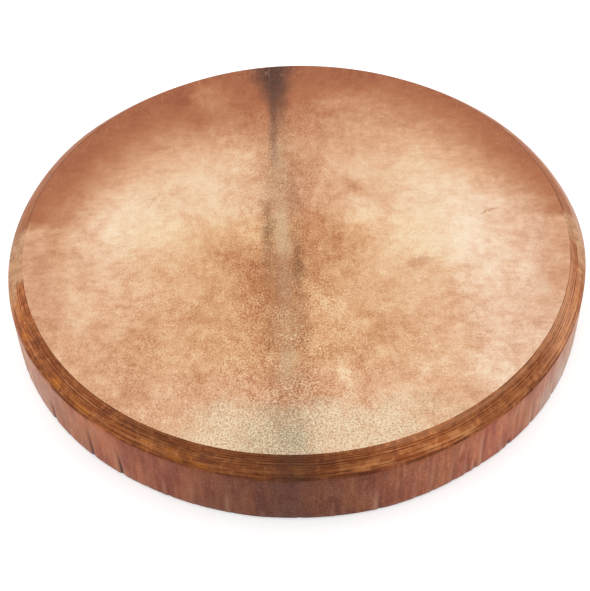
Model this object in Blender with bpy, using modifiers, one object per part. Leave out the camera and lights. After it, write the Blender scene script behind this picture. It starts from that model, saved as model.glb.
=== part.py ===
"""Shaman drum: a hoop of nested bent wood plies with one rawhide skin laced over it.

The drum lies on its open back with the head up. The origin is the middle of the drum on the
surface it rests on, and +Z points up through the head. Lengths are in metres.
"""
import math

import bmesh
import bpy
from mathutils import Matrix, Vector

# Driving dimensions of the whole drum, over the skin
DRUM_RADIUS = 0.250
DRUM_DEPTH = 0.063

# Rawhide skin
SKIN_THICKNESS = 0.0012
FIT_GAP = 0.0003
HEM_OVERHANG = 0.0130
HEM_HOLE_INSET = 0.0060
HEM_LIFT = 0.0027
HEM_BEND_RUN = 0.0055
HEM_SCALLOP = 0.0040
HEM_RIPPLE = 0.0012
PLEAT_DEPTH = 0.0009
PLEAT_REACH = 0.0300
HOLE_DIAMETER = 0.0042

# Laminated hoop
PLY_COUNT = 9
PLY_THICKNESS = 0.0013
GLUE_LINE = 0.0003
BEARING_LAND = 0.0010
CHAMFER_DROP = 0.0106
EDGE_EASE = 0.0010
SCARF_GAP = 0.0003
SCARF_TILT = math.radians(72)
SCARF_TURN_STEPS = 17

# Lacing, centre ring and grip wraps
ARM_COUNT = 4
LACES_PER_ARM = 6
LACE_DIAMETER = 0.0022
LACE_SPACING = 0.0027
RING_RADIUS = 0.0250
RING_WIRE = 0.0060
RING_HEIGHT = 0.0085
RING_LACE_TURN = math.radians(8)
RING_WRAP_GAP = 0.0140
WRAP_LENGTH = 0.0380
WRAP_TURNS = 6
WRAP_THICKNESS = 0.0020
WRAP_GROOVE = 0.0006

# Facets
SKIN_SEGMENTS = 96
HOOP_SEGMENTS = 48
RING_SEGMENTS = 32
ARC_STEPS = 2

# Sizes that follow from the ones above
HOOP_OUTER = DRUM_RADIUS - SKIN_THICKNESS - FIT_GAP
HOOP_INNER = HOOP_OUTER - PLY_COUNT * PLY_THICKNESS - (PLY_COUNT - 1) * GLUE_LINE
HOOP_TOP = DRUM_DEPTH - SKIN_THICKNESS - FIT_GAP
HOOP_FOOT = SKIN_THICKNESS + FIT_GAP
CHAMFER_START = HOOP_INNER + BEARING_LAND
CHAMFER_ANGLE = math.atan2(CHAMFER_DROP, HOOP_OUTER - CHAMFER_START)
SHOULDER = HOOP_TOP - CHAMFER_DROP
FOOT_EASE = min(EDGE_EASE, 0.8 * PLY_THICKNESS)
SKIN_OFFSET = SKIN_THICKNESS + FIT_GAP
HEM_EDGE = HOOP_INNER - HEM_OVERHANG
HOLE_RADIUS = HEM_EDGE + HEM_HOLE_INSET
HOLE_COUNT = ARM_COUNT * LACES_PER_ARM
HOLE_PITCH = 2 * math.pi / HOLE_COUNT
HEM_MIDDLE = HEM_LIFT + SKIN_THICKNESS / 2
LACE_RADIUS = LACE_DIAMETER / 2
LAYER_OFFSET = LACE_RADIUS + FIT_GAP
WRAP_START = RING_RADIUS + RING_WIRE / 2 + RING_WRAP_GAP
WRAP_END = WRAP_START + WRAP_LENGTH

parts = bpy.data.collections.new("shaman_drum")
cutters = bpy.data.collections.new("cutters")


def clear_scene():
    for item in list(bpy.data.objects):
        bpy.data.objects.remove(item, do_unlink=True)
    bpy.context.scene.collection.children.link(parts)
    bpy.context.scene.collection.children.link(cutters)


def principled(name, colour, roughness, metallic=0.0):
    material = bpy.data.materials.new(name)
    material.use_nodes = True
    shader = material.node_tree.nodes["Principled BSDF"]
    shader.inputs["Base Color"].default_value = (*colour, 1.0)
    shader.inputs["Roughness"].default_value = roughness
    shader.inputs["Metallic"].default_value = metallic
    material.diffuse_color = (*colour, 1.0)
    return material


def add_part(name, mesh, material):
    part = bpy.data.objects.new(name, mesh)
    part.data.materials.append(material)
    parts.objects.link(part)
    return part


def add_cutter(name, mesh):
    cutter = bpy.data.objects.new(name, mesh)
    cutter.hide_render = True
    cutter.display_type = "WIRE"
    cutters.objects.link(cutter)
    return cutter


def subtract(part, cutter):
    cut = part.modifiers.new("cut_" + cutter.name, "BOOLEAN")
    cut.operation = "DIFFERENCE"
    cut.object = cutter


def shade(mesh, angle=math.radians(35)):
    mesh.shade_smooth()
    mesh.set_sharp_from_angle(angle=angle)


def chamfer_height(radius):
    """Top of the hoop at a radius: a narrow flat bearing edge, then the slope outwards."""
    return HOOP_TOP - max(0.0, radius - CHAMFER_START) * math.tan(CHAMFER_ANGLE)


def arc(centre, radius, start, end, steps):
    """Points of an arc about centre, both angles from +radius towards +height, clockwise."""
    points = []
    for step in range(steps + 1):
        angle = start + (end - start) * step / steps
        points.append((centre[0] + radius * math.cos(angle), centre[1] + radius * math.sin(angle)))
    return points


def skin_outline():
    """Outside of the skin as (radius, height), from the middle of the head to the hem's edge."""
    up = math.pi / 2
    hem_slope = math.atan2(HEM_LIFT, HEM_BEND_RUN)
    outline = [(0.0, DRUM_DEPTH)]
    outline += arc((CHAMFER_START, HOOP_TOP), SKIN_OFFSET, up, up - CHAMFER_ANGLE, ARC_STEPS)
    outline += arc((HOOP_OUTER, SHOULDER), SKIN_OFFSET, up - CHAMFER_ANGLE, 0.0, ARC_STEPS)
    foot_centre = (HOOP_OUTER - FOOT_EASE, HOOP_FOOT + FOOT_EASE)
    outline.append((DRUM_RADIUS, min(PLEAT_REACH, 0.9 * SHOULDER)))
    outline.append((DRUM_RADIUS, min(PLEAT_REACH, 0.9 * SHOULDER) * 0.45))
    outline += arc(foot_centre, SKIN_OFFSET + FOOT_EASE, 0.0, -up, ARC_STEPS)
    outline += arc((HOOP_INNER, HOOP_FOOT), SKIN_OFFSET, -up, -up - hem_slope, ARC_STEPS - 1)
    outline.append((HOOP_INNER - HEM_BEND_RUN, HEM_LIFT))
    outline.append((HEM_EDGE, HEM_LIFT))
    return outline


def between_holes(angle):
    """0 at a lace hole and 1 half way to the next one."""
    return (1 + math.cos(HOLE_COUNT * angle)) / 2


def gather(point):
    """Move a point of the round skin to where the pull of the laces puts it."""
    radius = math.hypot(point.x, point.y)
    if radius < HEM_EDGE - FIT_GAP:
        return point
    angle = math.atan2(point.y, point.x)
    slack = between_holes(angle)
    moved = radius
    height = point.z
    if radius > HOOP_OUTER and height < PLEAT_REACH:
        moved += PLEAT_DEPTH * slack * (1 - height / PLEAT_REACH) ** 2
    if radius < HOOP_INNER - HEM_BEND_RUN / 2 and height < HOOP_TOP / 2:
        height += HEM_RIPPLE * slack
    if radius < HOLE_RADIUS and height < HOOP_TOP / 2:
        moved += HEM_SCALLOP * slack
    return Vector((moved * math.cos(angle), moved * math.sin(angle), height))


def turned_mesh(name, outline, segments, closed):
    """A full turn of an outline about Z."""
    form = bmesh.new()
    rim = [form.verts.new((radius, 0.0, height)) for radius, height in outline]
    edges = [form.edges.new(pair) for pair in zip(rim, rim[1:])]
    if closed:
        edges.append(form.edges.new((rim[-1], rim[0])))
    bmesh.ops.spin(form, geom=rim + edges, cent=(0, 0, 0), axis=(0, 0, 1), angle=2 * math.pi,
                   steps=segments, use_merge=True, use_duplicate=False)
    bmesh.ops.remove_doubles(form, verts=form.verts, dist=1e-6)
    bmesh.ops.recalc_face_normals(form, faces=form.faces)
    mesh = bpy.data.meshes.new(name)
    form.to_mesh(mesh)
    form.free()
    return mesh


def make_skin():
    """The head, the slope, the side and the turned-in hem, which are one piece of hide."""
    mesh = turned_mesh("drum_skin", skin_outline(), SKIN_SEGMENTS, closed=False)
    form = bmesh.new()
    form.from_mesh(mesh)
    if sum(face.normal.z * face.calc_area() for face in form.faces) < 0:
        bmesh.ops.reverse_faces(form, faces=form.faces)
    for vertex in form.verts:
        vertex.co = gather(vertex.co)
    form.to_mesh(mesh)
    form.free()
    shade(mesh)
    skin = add_part("drum_skin", mesh, principled("rawhide", (0.62, 0.36, 0.20), 0.55))
    wall = skin.modifiers.new("wall", "SOLIDIFY")
    wall.thickness = SKIN_THICKNESS
    wall.offset = -1.0
    wall.use_even_offset = True
    subtract(skin, lace_hole_cutter())


def lace_hole_cutter():
    """Upright pegs where the laces pass through the hem."""
    form = bmesh.new()
    for hole in range(HOLE_COUNT):
        angle = (hole + 0.5) * HOLE_PITCH
        centre = Vector((HOLE_RADIUS * math.cos(angle), HOLE_RADIUS * math.sin(angle), HEM_MIDDLE))
        turn = Matrix.Rotation(angle, 4, "Z")
        bmesh.ops.create_cone(form, cap_ends=True, segments=8, radius1=HOLE_DIAMETER / 2,
                              radius2=HOLE_DIAMETER / 2, depth=6 * SKIN_THICKNESS,
                              matrix=Matrix.Translation(centre) @ turn)
    mesh = bpy.data.meshes.new("lace_holes")
    form.to_mesh(mesh)
    form.free()
    return add_cutter("lace_holes", mesh)


def ply_outline(inner, outer):
    """Section of one ply, clockwise from its inner top corner."""
    outline = [(inner, chamfer_height(inner))]
    if inner < CHAMFER_START < outer:
        outline.append((CHAMFER_START, HOOP_TOP))
    outline.append((outer, chamfer_height(outer)))
    if outer > HOOP_OUTER - FIT_GAP:
        outline.append((outer, HOOP_FOOT + FOOT_EASE))
        outline.append((outer - FOOT_EASE, HOOP_FOOT))
    else:
        outline.append((outer, HOOP_FOOT))
    outline.append((inner, HOOP_FOOT))
    return outline


def make_hoop():
    """Nine thin plies bent round one inside the next, each closed with a slanted scarf joint."""
    wood = principled("bent_wood", (0.48, 0.29, 0.15), 0.60)
    segment = 2 * math.pi / HOOP_SEGMENTS
    for index in range(PLY_COUNT):
        name = "hoop_ply_%d" % (index + 1)
        inner = HOOP_INNER + index * (PLY_THICKNESS + GLUE_LINE)
        outer = inner + PLY_THICKNESS
        mesh = turned_mesh(name, ply_outline(inner, outer), HOOP_SEGMENTS, closed=True)
        shade(mesh)
        ply = add_part(name, mesh, wood)
        joint_angle = (index * SCARF_TURN_STEPS + 0.5) * segment
        subtract(ply, scarf_cutter(name + "_scarf", (inner + outer) / 2, joint_angle))


def scarf_cutter(name, radius, angle):
    """A thin upright blade, slanted so that the ends of the ply overlap like a scarf joint."""
    form = bmesh.new()
    reach = 3 * PLY_THICKNESS / math.cos(SCARF_TILT)
    place = (Matrix.Rotation(angle, 4, "Z") @ Matrix.Translation((radius, 0, DRUM_DEPTH / 2))
             @ Matrix.Rotation(SCARF_TILT, 4, "Z"))
    bmesh.ops.create_cube(form, size=1.0, matrix=place @ Matrix.Diagonal(
        (reach, SCARF_GAP, 2 * DRUM_DEPTH, 1.0)))
    mesh = bpy.data.meshes.new(name)
    form.to_mesh(mesh)
    form.free()
    return add_cutter(name, mesh)


def make_centre_ring():
    """Closed ring of round iron rod that all the laces are looped on."""
    bpy.ops.mesh.primitive_torus_add(major_radius=RING_RADIUS, minor_radius=RING_WIRE / 2,
                                     major_segments=RING_SEGMENTS, minor_segments=12,
                                     location=(0, 0, RING_HEIGHT))
    ring = bpy.context.object
    ring.name = "centre_ring"
    ring.data.name = "centre_ring"
    for collection in list(ring.users_collection):
        collection.objects.unlink(ring)
    parts.objects.link(ring)
    ring.data.materials.append(principled("forged_iron", (0.09, 0.08, 0.08), 0.45, 0.9))
    shade(ring.data)


def lace_points(arm_angle, slot):
    """Closed route of one doubled lace: round the ring, through the wrap, through the hem."""
    ring_angle = arm_angle + slot * RING_LACE_TURN
    hole_angle = arm_angle + slot * HOLE_PITCH
    along = Matrix.Rotation(arm_angle, 3, "Z")
    loop_steps = 4
    ring_loop = (RING_WIRE / 2 + FIT_GAP + LACE_RADIUS) / math.cos(math.pi / loop_steps / 2)
    hem_loop = SKIN_THICKNESS / 2 + FIT_GAP + LACE_RADIUS
    hem_loop /= math.cos(math.pi / loop_steps / 2)

    hole = Vector((math.cos(hole_angle), math.sin(hole_angle), 0)) * HOLE_RADIUS
    wrap_in = along @ Vector((WRAP_START, slot * LACE_SPACING, 0))
    wrap_out = along @ Vector((WRAP_END, slot * LACE_SPACING, 0))
    outward = (hole - wrap_out).normalized()
    ring_out = Vector((math.cos(ring_angle), math.sin(ring_angle), 0))
    up = Vector((0, 0, 1))

    points = []
    for step in range(loop_steps + 1):
        turn = math.pi * step / loop_steps - math.pi / 2
        centre = ring_out * RING_RADIUS + up * RING_HEIGHT
        points.append(centre - ring_out * ring_loop * math.cos(turn) + up * ring_loop * math.sin(turn))
    points.append(wrap_in + up * (RING_HEIGHT + LAYER_OFFSET))
    points.append(wrap_out + up * (RING_HEIGHT + LAYER_OFFSET))
    for step in range(loop_steps + 1):
        turn = math.pi / 2 - math.pi * step / loop_steps
        centre = hole - outward * hem_loop + up * HEM_MIDDLE
        points.append(centre + outward * hem_loop * math.cos(turn) + up * hem_loop * math.sin(turn))
    points.append(wrap_out + up * (RING_HEIGHT - LAYER_OFFSET))
    points.append(wrap_in + up * (RING_HEIGHT - LAYER_OFFSET))
    return points


def tube_mesh(name, points, radius, resolution, cyclic, swell=()):
    """Mesh of a round tube along a list of points, each with its share of the radius in swell."""
    line = bpy.data.curves.new(name, "CURVE")
    line.dimensions = "3D"
    line.bevel_depth = radius
    line.bevel_resolution = resolution
    line.use_fill_caps = not cyclic
    spline = line.splines.new("POLY")
    spline.points.add(len(points) - 1)
    for place, point in zip(spline.points, points):
        place.co = (*point, 1.0)
    for place, share in zip(spline.points, swell):
        place.radius = share
    spline.use_cyclic_u = cyclic
    holder = bpy.data.objects.new(name, line)
    cutters.objects.link(holder)
    bpy.context.view_layer.update()
    view = holder.evaluated_get(bpy.context.evaluated_depsgraph_get())
    mesh = bpy.data.meshes.new_from_object(view)
    bpy.data.objects.remove(holder, do_unlink=True)
    form = bmesh.new()
    form.from_mesh(mesh)
    bmesh.ops.remove_doubles(form, verts=form.verts, dist=1e-6)
    bmesh.ops.recalc_face_normals(form, faces=form.faces)
    form.to_mesh(mesh)
    form.free()
    mesh.name = name
    return mesh


def make_laces():
    """One doubled rawhide lace for each hem hole, gathered into four arms."""
    rawhide = principled("rawhide_lace", (0.66, 0.50, 0.32), 0.6)
    number = 0
    for arm in range(ARM_COUNT):
        arm_angle = arm * 2 * math.pi / ARM_COUNT
        for place in range(LACES_PER_ARM):
            number += 1
            slot = place - (LACES_PER_ARM - 1) / 2
            name = "lace_%02d" % number
            mesh = tube_mesh(name, lace_points(arm_angle, slot), LACE_RADIUS, 1, cyclic=True)
            shade(mesh, math.radians(61))
            add_part(name, mesh, rawhide)


def sleeve_mesh(name, half_width, half_height, start, end, groove):
    """An oval bar along +X; with a groove, it is drawn in between the turns of the strip."""
    turn_length = (end - start) / WRAP_TURNS
    stations = [(start, half_height - groove)]
    for turn in range(WRAP_TURNS if groove > 0 else 0):
        stations.append((start + (turn + 0.3) * turn_length, half_height))
        stations.append((start + (turn + 0.7) * turn_length, half_height))
        stations.append((start + (turn + 1) * turn_length, half_height - groove))
    if groove == 0:
        stations.append((end, half_height))
    points = [Vector((station, 0, 0)) for station, height in stations]
    swell = [height / half_height for station, height in stations]
    mesh = tube_mesh(name, points, half_height, 4, cyclic=False, swell=swell)
    mesh.transform(Matrix.Diagonal((1.0, half_width / half_height, 1.0, 1.0)))
    return mesh


def make_grip_wraps():
    """A strip of leather bound round each arm of laces, to hold the drum by."""
    leather = principled("grip_leather", (0.20, 0.10, 0.05), 0.65)
    bundle_width = (LACES_PER_ARM - 1) / 2 * LACE_SPACING + LACE_RADIUS + FIT_GAP
    bundle_height = LAYER_OFFSET + LACE_RADIUS + FIT_GAP
    bore_width = bundle_width * math.sqrt(2)
    bore_height = bundle_height * math.sqrt(2)
    for arm in range(ARM_COUNT):
        turn = (Matrix.Translation((0, 0, RING_HEIGHT))
                @ Matrix.Rotation(arm * 2 * math.pi / ARM_COUNT, 4, "Z"))
        name = "grip_wrap_%d" % (arm + 1)
        mesh = sleeve_mesh(name, bore_width + WRAP_THICKNESS, bore_height + WRAP_THICKNESS,
                           WRAP_START, WRAP_END, WRAP_GROOVE)
        mesh.transform(turn)
        shade(mesh)
        wrap = add_part(name, mesh, leather)
        bore = sleeve_mesh(name + "_bore", bore_width, bore_height,
                           WRAP_START - WRAP_THICKNESS, WRAP_END + WRAP_THICKNESS, 0)
        bore.transform(turn)
        subtract(wrap, add_cutter(name + "_bore", bore))


clear_scene()
make_hoop()
make_skin()
make_centre_ring()
make_laces()
make_grip_wraps()
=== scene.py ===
"""Dresses the shaman drum: rawhide skin, laced back, wrapped grip, bent wood and a plain white stage."""
import math

import bmesh
import bpy
from bpy.props import FloatProperty, FloatVectorProperty, IntProperty, PointerProperty
from mathutils import Matrix, Vector, noise


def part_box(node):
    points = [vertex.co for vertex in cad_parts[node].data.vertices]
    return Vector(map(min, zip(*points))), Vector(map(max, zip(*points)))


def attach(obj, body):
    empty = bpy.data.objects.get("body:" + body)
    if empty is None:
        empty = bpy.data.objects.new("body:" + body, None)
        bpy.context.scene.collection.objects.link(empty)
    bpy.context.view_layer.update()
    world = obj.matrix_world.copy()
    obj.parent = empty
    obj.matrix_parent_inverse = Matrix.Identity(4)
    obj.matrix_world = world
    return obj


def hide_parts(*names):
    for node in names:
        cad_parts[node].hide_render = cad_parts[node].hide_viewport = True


bl_info = {
    "name": "Shaman Drum",
    "version": (1, 0, 0),
    "blender": (4, 5, 0),
    "location": "3D View > Sidebar > Drum",
    "description": "Rawhide skin, lacing, grip wraps and wood finish for a laced hoop drum",
    "category": "Object",
}

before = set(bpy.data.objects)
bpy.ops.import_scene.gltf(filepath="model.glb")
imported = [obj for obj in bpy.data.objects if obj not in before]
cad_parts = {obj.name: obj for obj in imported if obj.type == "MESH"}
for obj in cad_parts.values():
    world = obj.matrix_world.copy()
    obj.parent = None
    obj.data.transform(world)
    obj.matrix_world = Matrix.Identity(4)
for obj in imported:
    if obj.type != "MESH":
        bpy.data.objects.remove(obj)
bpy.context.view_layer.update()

skin_low, skin_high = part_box("drum_skin")
ring_low, ring_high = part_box("centre_ring")
wrap_low, wrap_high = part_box("grip_wrap_1")
inner_ply_low, inner_ply_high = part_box("hoop_ply_1")
outer_ply_low, outer_ply_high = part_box("hoop_ply_9")

# Sizes that the drum's construction also has, in metres
FIT_GAP = 0.0003
BEARING_LAND = 0.0010
CHAMFER_DROP = 0.0106
PLY_PITCH = 0.0016
PLY_THICKNESS = 0.0013
FOOT_EASE = 0.0010
SCARF_TILT = math.radians(72)
SCARF_GAP = 0.0003
HEM_OVERHANG = 0.0130
HEM_HOLE_INSET = 0.0060
HOLE_DIAMETER = 0.0042
HOOP_SEGMENTS = 48
HEM_LIFT = 0.0027
HEM_BEND_RUN = 0.0055
LACE_RADIUS = 0.0011
LACE_SPACING = 0.0027
RING_LACE_TURN = math.radians(8)
WRAP_THICKNESS = 0.0020
WRAP_TURNS = 6

DRUM_DEPTH = skin_high.z
HOOP_TOP = inner_ply_high.z
HOOP_FOOT = inner_ply_low.z
HOOP_OUTER = outer_ply_high.x
HIDE_THICKNESS = DRUM_DEPTH - HOOP_TOP - FIT_GAP
SKIN_OFFSET = HIDE_THICKNESS + FIT_GAP
DRUM_RADIUS = HOOP_OUTER + SKIN_OFFSET
HOLE_COUNT = sum(1 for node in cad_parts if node.startswith("lace_"))
PLY_COUNT = sum(1 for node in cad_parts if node.startswith("hoop_ply_"))
ARM_COUNT = sum(1 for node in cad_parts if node.startswith("grip_wrap_"))
LACES_PER_ARM = HOLE_COUNT // ARM_COUNT
HOLE_PITCH = 2 * math.pi / HOLE_COUNT
HOOP_INNER = HOOP_OUTER - (PLY_COUNT - 1) * PLY_PITCH - PLY_THICKNESS
CHAMFER_START = HOOP_INNER + BEARING_LAND
CHAMFER_ANGLE = math.atan2(CHAMFER_DROP, HOOP_OUTER - CHAMFER_START)
SHOULDER = HOOP_TOP - CHAMFER_DROP
BEARING_EDGE = CHAMFER_START + SKIN_OFFSET * math.tan(CHAMFER_ANGLE / 2)
BAND_LENGTH = math.hypot(HOOP_OUTER - CHAMFER_START, CHAMFER_DROP)
HEM_EDGE = HOOP_INNER - HEM_OVERHANG
HOLE_RADIUS = HEM_EDGE + HEM_HOLE_INSET
RING_WIRE = ring_high.z - ring_low.z
RING_RADIUS = ring_high.x - RING_WIRE / 2
RING_HEIGHT = (ring_high.z + ring_low.z) / 2
WRAP_START = wrap_low.x
WRAP_END = wrap_high.x
LAYER_OFFSET = LACE_RADIUS + FIT_GAP
FOOT_TURN = HOOP_OUTER - FOOT_EASE

# The camera, in metres and radians
CAMERA_AIM = Vector((-0.0021, -0.05435, 0.0380))
CAMERA_DISTANCE = 1.0
CAMERA_ELEVATION = math.radians(47.574)
CAMERA_ROLL = math.radians(-1.901)
CAMERA_LENS = 71.21


def srgb(red, green, blue):
    """A colour as it looks on screen, 0 to 255 a channel, in the linear values that shaders use."""
    linear = []
    for channel in (red, green, blue):
        share = channel / 255
        linear.append(share / 12.92 if share <= 0.04045 else ((share + 0.055) / 1.055) ** 2.4)
    return tuple(linear)


def colour_setting(name, description, colour):
    return FloatVectorProperty(name=name, description=description, subtype="COLOR", size=3,
                               min=0.0, max=1.0, default=srgb(*colour))


class DrumSkinSettings(bpy.types.PropertyGroup):
    segments: IntProperty(name="Segments", description="Facets round the drum", default=960, min=96)
    fold_depth: FloatProperty(
        name="Fold depth", description="How far the folds of the side stand out",
        default=0.0014, unit="LENGTH")
    bulge: FloatProperty(
        name="Bulge", description="How far the hand-bent rim is out of round", default=0.0015, unit="LENGTH")
    russet: colour_setting("Russet", "Darkest tone of the head", (155, 86, 57))
    rust: colour_setting("Rust", "Dark tone of the head", (183, 115, 78))
    tan: colour_setting("Tan", "Orange-brown mottling of the head", (209, 151, 111))
    peach: colour_setting("Peach", "Main tone of the head", (233, 183, 143))
    cream: colour_setting("Cream", "Pale patches of the head", (248, 214, 177))
    band: colour_setting("Rim band", "Skin over the chamfered hoop", (170, 101, 56))
    side: colour_setting("Side", "Skin over the outside of the hoop", (184, 112, 82))
    stripe: colour_setting("Stripe", "Dark stripe of the animal's back", (90, 56, 43))
    raw: colour_setting("Raw hide", "Untanned inside and hem", (214, 172, 126))


class DrumBackSettings(bpy.types.PropertyGroup):
    rawhide: colour_setting("Rawhide", "Colour of the laces", (206, 168, 116))
    leather: colour_setting("Leather", "Colour of the grip wraps", (88, 50, 30))
    iron: colour_setting("Iron", "Colour of the centre ring", (70, 66, 64))
    wood: colour_setting("Wood", "Colour of the bent plies", (196, 148, 96))


class Shader:
    """Builds one material's nodes with short calls."""

    def __init__(self, name):
        self.material = bpy.data.materials.new(name)
        self.material.use_nodes = True
        self.nodes = self.material.node_tree.nodes
        self.links = self.material.node_tree.links
        self.principled = self.nodes["Principled BSDF"]
        self.place = self.nodes.new("ShaderNodeTexCoord").outputs["Object"]

    def put(self, socket, value):
        if isinstance(value, bpy.types.NodeSocket):
            self.links.new(value, socket)
        elif socket.type == "RGBA" and len(value) == 3:
            socket.default_value = (*value, 1.0)
        else:
            socket.default_value = value

    def math(self, operation, *values, clamp=False):
        node = self.nodes.new("ShaderNodeMath")
        node.operation = operation
        node.use_clamp = clamp
        for socket, value in zip(node.inputs, values):
            self.put(socket, value)
        return node.outputs[0]

    def add(self, first, *others):
        for other in others:
            first = self.math("ADD", first, other)
        return first

    def times(self, first, *others):
        for other in others:
            first = self.math("MULTIPLY", first, other)
        return first

    def less(self, first, second):
        return self.math("SUBTRACT", first, second)

    def step(self, value, low, high, bottom=0.0, top=1.0):
        """Goes smoothly from bottom to top while value goes from low to high, which may be the smaller."""
        node = self.nodes.new("ShaderNodeMapRange")
        node.interpolation_type = "SMOOTHSTEP"
        node.clamp = False
        for socket, given in zip(node.inputs, (value, low, high, bottom, top)):
            self.put(socket, given)
        return node.outputs["Result"]

    def near(self, value, middle, reach, top=1.0):
        """As much as top where value is at the middle, and 0 from reach on."""
        return self.step(self.math("ABSOLUTE", self.less(value, middle)), reach, 0.0, 0.0, top)

    def mix(self, share, first, second, blend="MIX"):
        node = self.nodes.new("ShaderNodeMix")
        node.data_type = "RGBA"
        node.blend_type = blend
        node.clamp_factor = True
        self.put(node.inputs["Factor"], share)
        self.put(node.inputs["A"], first)
        self.put(node.inputs["B"], second)
        return node.outputs["Result"]

    def brighten(self, share, colour):
        """The colour made lighter where share is above 1 and darker where it is below."""
        node = self.nodes.new("ShaderNodeHueSaturation")
        self.put(node.inputs["Value"], share)
        self.put(node.inputs["Color"], colour)
        return node.outputs["Color"]

    def tinted(self, share, colour, factors):
        """The colour with its channels multiplied by the factors, as far as share says."""
        return self.mix(share, colour, factors, "MULTIPLY")

    def ramp(self, value, *stops):
        node = self.nodes.new("ShaderNodeValToRGB")
        node.color_ramp.interpolation = "LINEAR"
        elements = node.color_ramp.elements
        elements.remove(elements[1])
        elements[0].position, first = stops[0]
        elements[0].color = (*first, 1.0)
        for place, colour in stops[1:]:
            elements.new(place).color = (*colour, 1.0)
        self.put(node.inputs[0], value)
        return node.outputs["Color"]

    def noise(self, scale, detail=4.0, roughness=0.55, place=None):
        node = self.nodes.new("ShaderNodeTexNoise")
        self.put(node.inputs["Vector"], place or self.place)
        node.inputs["Scale"].default_value = scale
        node.inputs["Detail"].default_value = detail
        node.inputs["Roughness"].default_value = roughness
        return node.outputs["Fac"]

    def wander(self, scale, reach, detail=4.0, place=None):
        """Noise round 0 that reaches about as far as it says."""
        return self.times(self.less(self.noise(scale, detail, 0.6, place), 0.5), 4 * reach)

    def cells(self, scale, place=None):
        node = self.nodes.new("ShaderNodeTexVoronoi")
        self.put(node.inputs["Vector"], place or self.place)
        node.inputs["Scale"].default_value = scale
        return node.outputs["Distance"]

    def specks(self, scale, place):
        """Dots scattered over a plane like hair roots, each with a strength of its own."""
        node = self.nodes.new("ShaderNodeTexVoronoi")
        node.voronoi_dimensions = "2D"
        self.put(node.inputs["Vector"], place)
        node.inputs["Scale"].default_value = scale
        strength = self.nodes.new("ShaderNodeSeparateColor")
        self.put(strength.inputs[0], node.outputs["Color"])
        return self.times(self.step(node.outputs["Distance"], 0.52, 0.14), strength.outputs[0])

    def vector(self, x, y, z):
        node = self.nodes.new("ShaderNodeCombineXYZ")
        for socket, value in zip(node.inputs, (x, y, z)):
            self.put(socket, value)
        return node.outputs[0]

    def parts(self, vector):
        node = self.nodes.new("ShaderNodeSeparateXYZ")
        self.put(node.inputs[0], vector)
        return node.outputs

    def distance(self, place, point):
        node = self.nodes.new("ShaderNodeVectorMath")
        node.operation = "DISTANCE"
        self.put(node.inputs[0], place)
        node.inputs[1].default_value = point
        return node.outputs["Value"]

    def painted(self, name):
        """A value that the mesh holds at each of its points."""
        node = self.nodes.new("ShaderNodeAttribute")
        node.attribute_name = name
        return node.outputs["Fac"]

    def bump(self, height, depth, strength=1.0, normal=None):
        node = self.nodes.new("ShaderNodeBump")
        node.inputs["Strength"].default_value = strength
        node.inputs["Distance"].default_value = depth
        self.put(node.inputs["Height"], height)
        if normal is not None:
            self.put(node.inputs["Normal"], normal)
        return node.outputs["Normal"]

    def finish(self, colour, roughness, normal=None, specular=0.5):
        self.put(self.principled.inputs["Base Color"], colour)
        self.put(self.principled.inputs["Roughness"], roughness)
        self.principled.inputs["Specular IOR Level"].default_value = specular
        if normal is not None:
            self.put(self.principled.inputs["Normal"], normal)
        return self.material


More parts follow.
